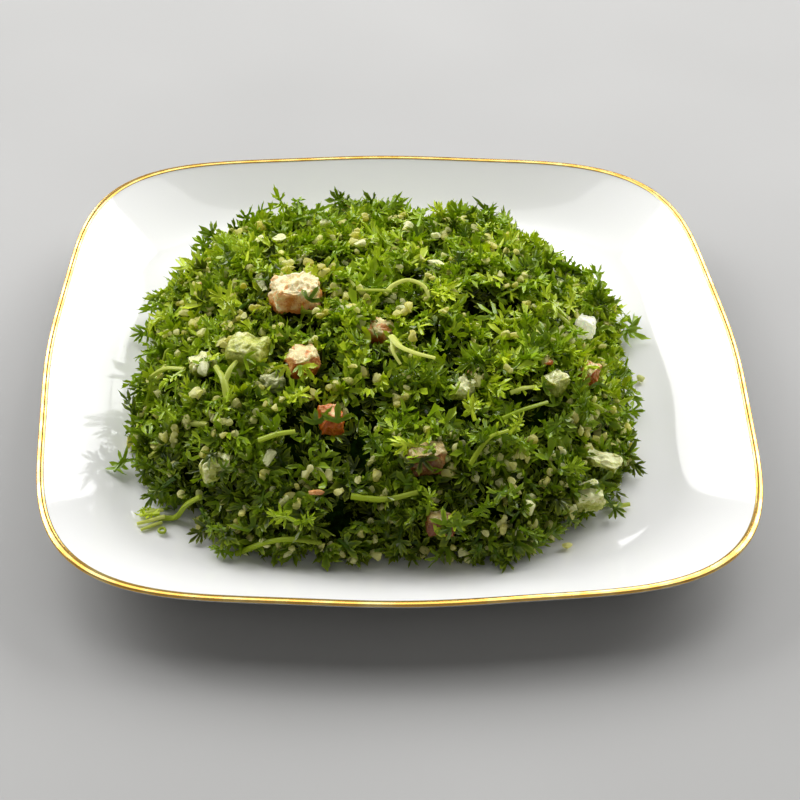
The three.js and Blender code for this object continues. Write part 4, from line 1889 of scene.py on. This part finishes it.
@dataclass
class LaidByHand:
    """The stems, sprigs and bits that each have a place of their own, and the strays on the plate."""

    salad: Salad
    front_share: float = 0.45
    big_dice: float = 13 * MM
    stem_sides: int = 8
    ring_steps: int = 18
    ring_radius: float = 0.95 * MM
    ring_width: float = 0.8 * MM
    ASIDE = {"stray_sprig": (0.6, -4.6, 0.7)}  # in mm, from the middle of a stray's foot

    def finish(self, name: str, finish: Finish, edge: float, bunch: Bunch, *nodes: str) -> None:
        """Turns a bunch into a finished piece.

        Args:
            name: the piece's name.
            finish: its finish.
            edge: the angle above which an edge stays sharp, in radians.
            bunch: what was laid.
            *nodes: the CAD nodes that it stands for.
        """
        mesh = self.salad.settler.finish(bunch.mesh(name), edge)
        hand_over(linked(name, mesh, finish), finish, *nodes)

    def build_stems(self) -> None:
        """Makes the long stems."""
        bunch = Bunch()
        for stem in STEMS:
            plan = [(x * MM, y * MM, rise * MM) for x, y, rise in stem.route]
            path = smooth_path([Vector((x, y, self.salad.form.top(x, y) + rise)) for x, y, rise in plan], 6)
            last = len(path) - 1
            widths = [stem.width * MM * (1.08 - 0.25 * i / last) for i in range(last + 1)]
            cutting = Cutting()
            cutting.tube(path, widths, self.stem_sides, 0.14, (0, 1), stem.flatness)
            bunch.lay(cutting, Matrix.Identity(4), stem.tint)
        self.finish("long_stems", STALK, STEM_EDGE, bunch, "salad_heap")

    def clinging(self, piece: DicedPiece) -> Iterable[tuple[Cutting, Matrix, float]]:
        """Leaf bits that cling to a diced piece, on its front or its top.

        Args:
            piece: the diced piece.

        Yields:
            Each bit with its seat and tint.
        """
        chance, chopper = self.salad.chance, self.salad.chopper
        low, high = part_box(piece.node)
        usual = 3 if (high - low).length > self.big_dice else 2
        for _ in range(usual if piece.leaf_bits is None else piece.leaf_bits):
            in_front = chance.random() < self.front_share
            x = chance.uniform(low.x, high.x)
            y = low.y - 0.3 * MM if in_front else chance.uniform(low.y, high.y)
            z = chance.uniform((low.z + high.z) / 2, high.z) if in_front else high.z - 0.8 * MM
            tip = Matrix.Rotation(1.1 if in_front else chance.uniform(-0.3, 0.4), 4, "X")
            turn = Matrix.Rotation(chance.uniform(0, math.tau), 4, "Z")
            cutting = chopper.leaflet(3) if in_front else chopper.shred()
            yield cutting, Matrix.Translation((x, y, z)) @ tip @ turn, chance.random()

    def build_leaves(self) -> None:
        """Makes the leaves that stand out, and the leaf bits that cling to the diced pieces."""
        bunch = Bunch()
        for leaf in LEAVES:
            seat = self.salad.form.seat(leaf.x * MM, leaf.y * MM, leaf.heading, leaf.lean, leaf.rise * MM)
            bunch.lay(self.salad.chopper.whole_leaf(leaf.reach * MM), seat, leaf.tint)
        for piece in self.salad.dice:
            for bit in self.clinging(piece):
                bunch.lay(*bit)
        self.finish("whole_leaves", PARSLEY, LEAF_EDGE, bunch, "salad_heap")

    def build_bits(self) -> None:
        """Makes the small bits of tomato, cucumber and onion that have a place of their own."""
        crumbler = Crumbler(self.salad.chance, 3)
        for number, bit in enumerate(BITS):
            cutting = crumbler.add_bit(Cutting(), Vector((0, 0, 0)), Vector(bit.size) * MM, 10, 0.55)
            seat = self.salad.form.seat(bit.x * MM, bit.y * MM, 40 * number, 0, bit.rise * MM)
            mesh = Bunch((cutting, seat, 0.5)).mesh(f"loose_bit_{number}")
            # Paler on the bit's upper side: painted light.
            mark(mesh, "frost", [bit.paleness + a * 0.4 for a in cutting.along])
            self.salad.settler.finish(mesh, CRUMB_EDGE)
            hand_over(linked(mesh.name, mesh, bit.finish), bit.finish, "salad_heap")

    def resting(self, node: str, turn: float) -> Matrix:
        """A seat at a stray's own place on the plate.

        Args:
            node: the stray's CAD node.
            turn: where +Y points, in degrees from +X.

        Returns:
            The seat, at the middle of the node's foot.
        """
        low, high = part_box(node)
        middle = (low + high) / 2
        turned = Matrix.Rotation(math.radians(turn - 90), 4, "Z")
        return Matrix.Translation((middle.x, middle.y, low.z)) @ turned

    def sprig(self) -> Cutting:
        """A small sprig with five leaflets.

        Returns:
            The cutting.
        """
        leaf = Cutting(7)
        path = (Vector((0, 0, 0)), Vector((0, 3 * MM, 0.4 * MM)), Vector((0, 5 * MM, 0.5 * MM)))
        leaf.tube(path, [MM, 0.9 * MM, 0.6 * MM], 5, 0, (0, 0.2))
        add_leaflet = self.salad.chopper.add_leaflet
        add_leaflet(leaf, Matrix.Translation((0, 4.2 * MM, 0.5 * MM)), 0.95, 3, (0.1, 0.9))
        for along, size in ((1.0, 0.75), (3.0, 0.66)):
            for hand in (1, -1):
                place = Matrix.Translation((0, along * MM, 0.3 * MM))
                add_leaflet(leaf, place @ Matrix.Rotation(hand * 0.95, 4, "Z"), size, 2, (0.1, 0.8))
        return leaf

    def stem_slice(self) -> Cutting:
        """A thin hollow slice of stem.

        Returns:
            The cutting.
        """
        ring = Cutting()
        steps, sides = self.ring_steps, self.stem_sides
        for step in range(steps):
            angle = step / steps * math.tau
            outward = Vector((math.cos(angle), math.sin(angle), 0))
            radius = self.ring_radius * (1 + 0.06 * math.sin(3 * angle + 1))
            for side in range(sides):
                turn = side / sides * math.tau
                across = outward * (radius + math.cos(turn) * self.ring_width / 2)
                up = (1 + math.sin(turn)) * self.ring_width * 0.55
                # Paler on the ring's upper side: painted light.
                ring.point(Vector((across.x, across.y, up)), 0.5 + 0.5 * math.sin(turn))
        for step in range(steps):
            for side in range(sides):
                i, j = step * sides, (step + 1) % steps * sides
                k = (side + 1) % sides
                ring.faces.append((i + side, j + side, j + k, i + k))
        return ring

    def lone_grain(self) -> Cutting:
        """A single grain of bulgur."""
        middle, size = Vector((0, 0, 1 * MM)), Vector((2.2, 3.4, 2)) * MM
        return self.salad.crumbler.add_bit(Cutting(), middle, size, 8, 0.4)

    def lone_bit(self) -> Cutting:
        """A single small bit of cucumber."""
        middle, size = Vector((0, 0, 0.8 * MM)), Vector((3.6, 2.8, 1.7)) * MM
        return self.salad.crumbler.add_bit(Cutting(), middle, size, 7, 0.35)

    def build_strays(self) -> None:
        """Makes the sprig, the slice of stem, the grain and the bit of cucumber that lie on the plate."""
        strays = (
            ("stray_sprig_leaf", PARSLEY, LEAF_EDGE, self.sprig, "stray_sprig", 62, 0.5),
            ("stray_stem_slice", STALK, STEM_EDGE, self.stem_slice, "stray_stem_ring", 30, 0.35),
            ("stray_bulgur_grain", WHEAT, CRUMB_EDGE, self.lone_grain, "stray_grain", 20, 0.6),
            ("stray_cucumber_bit", CUCUMBER_SKIN, CRUMB_EDGE, self.lone_bit, "stray_cucumber", 10, 0.8),
        )
        for name, finish, edge, cut, node, turn, tint in strays:
            aside = Matrix.Translation(Vector(self.ASIDE.get(node, (0, 0, 0))) * MM)
            bunch = Bunch((cut(), self.resting(node, turn) @ aside, tint))
            self.finish(name, finish, edge, bunch, node)


# ---- Studio ----


@dataclass(frozen=True)
class Softbox:
    """A large soft light that looks at the plate. Angles are in degrees."""

    name: str
    azimuth: float
    elevation: float
    width: float
    height: float
    radiance: float
    distance: float = 1.6

    def hang(self) -> None:
        """Puts the light in the scene."""
        light = bpy.data.lights.new(self.name, "AREA")
        light.shape = "RECTANGLE"
        light.size = self.width
        light.size_y = self.height
        light.energy = self.radiance * math.pi * self.width * self.height
        flat = math.cos(math.radians(self.elevation))
        turn = math.radians(self.azimuth)
        away = Vector((math.sin(turn) * flat, math.cos(turn) * flat, math.sin(math.radians(self.elevation))))
        obj = linked(self.name, light)
        obj.location = away * self.distance
        obj.rotation_mode = "QUATERNION"
        obj.rotation_quaternion = away.to_track_quat("Z", "Y")


@dataclass
class Studio:
    """Camera, soft light and a plain pale floor. Angles are in degrees."""

    target: Vector = Vector((0.5 * MM, -26.2 * MM, 19.5 * MM))
    distance: float = 519.6 * MM
    azimuth: float = -3.72
    elevation: float = 41.3
    roll: float = 2.01
    lens: float = 76.3
    floor_half: float = 4.0
    floor_drop: float = 0.1 * MM
    fill: Colour = (0.17, 0.169, 0.165)
    lights: tuple[Softbox, ...] = (
        Softbox("window_left", -39, 33.5, 1.03, 0.83, 5.6),
        Softbox("window_left_far", -66, 32, 0.6, 0.7, 4.4),
        Softbox("window_right_pane", 15.0, 31.0, 0.34, 0.38, 5.6),
        Softbox("window_right", 40, 33.5, 0.83, 0.83, 5.6),
        Softbox("window_right_far", 66, 32, 0.6, 0.7, 4.4),
        Softbox("skylight", 0, 65, 2.2, 1.1, 1.9, 2.0),
        Softbox("front_fill", 180, 48, 1.6, 1.2, 0.1, 2.0),
    )

    def build(self) -> None:
        """Sets up the whole studio."""
        self.place_camera()
        self.lay_floor()
        for light in self.lights:
            light.hang()
        world = bpy.data.worlds.new("soft_fill")
        world.use_nodes = True
        world.node_tree.nodes["Background"].inputs["Color"].default_value = (*self.fill, 1)
        bpy.context.scene.world = world
        bpy.context.scene.view_settings.view_transform = "Standard"

    def place_camera(self) -> None:
        """Puts the camera where it looks down on the plate from the diner's side."""
        turn, rise, tilt = (math.radians(a) for a in (self.azimuth, self.elevation, self.roll))
        back = Vector((math.sin(turn) * math.cos(rise), -math.cos(turn) * math.cos(rise), math.sin(rise)))
        level = Vector((math.cos(turn), math.sin(turn), 0))
        upright = back.cross(level)
        right = level * math.cos(tilt) + upright * math.sin(tilt)
        up = back.cross(right)
        camera = bpy.data.cameras.new("camera")
        camera.lens = self.lens
        camera.clip_start = 0.01
        obj = linked("camera", camera)
        rotation = Matrix((right, up, back)).transposed().to_4x4()
        obj.matrix_world = Matrix.Translation(self.target + back * self.distance) @ rotation
        bpy.context.scene.camera = obj

    def lay_floor(self) -> None:
        """Lays the floor under the plate's foot."""
        reach, drop = self.floor_half, -self.floor_drop
        corners = [(-reach, -reach, drop), (reach, -reach, drop), (reach, reach, drop), (-reach, reach, drop)]
        mesh = bpy.data.meshes.new("floor")
        mesh.from_pydata(corners, [], [(0, 1, 2, 3)])
        linked("floor", mesh, FLOOR)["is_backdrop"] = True


# ---- The whole ----


def main() -> None:
    """Builds the plate, the salad and the studio."""
    logging.basicConfig(level=logging.INFO, format="%(name)s %(message)s")
    low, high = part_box("plate")
    skin = 0.08 * MM
    plate = SquarePlate(half_width=(high.x - low.x) / 2 - skin, rim_height=high.z - skin)
    plate.build()
    salad = Salad(HeapForm(plate), Settler(plate, CAD_BOX[1].z - AIR), diced_pieces())
    salad.build_bed()
    for piece in salad.dice:
        piece.build()
    salad.build_layers()
    laid = LaidByHand(salad)
    laid.build_stems()
    laid.build_leaves()
    laid.build_bits()
    laid.build_strays()
    Studio().build()


if __name__ == "__main__":
    main()
    [[list(corner) for corner in box] for box in (CAD_BOX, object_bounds())]
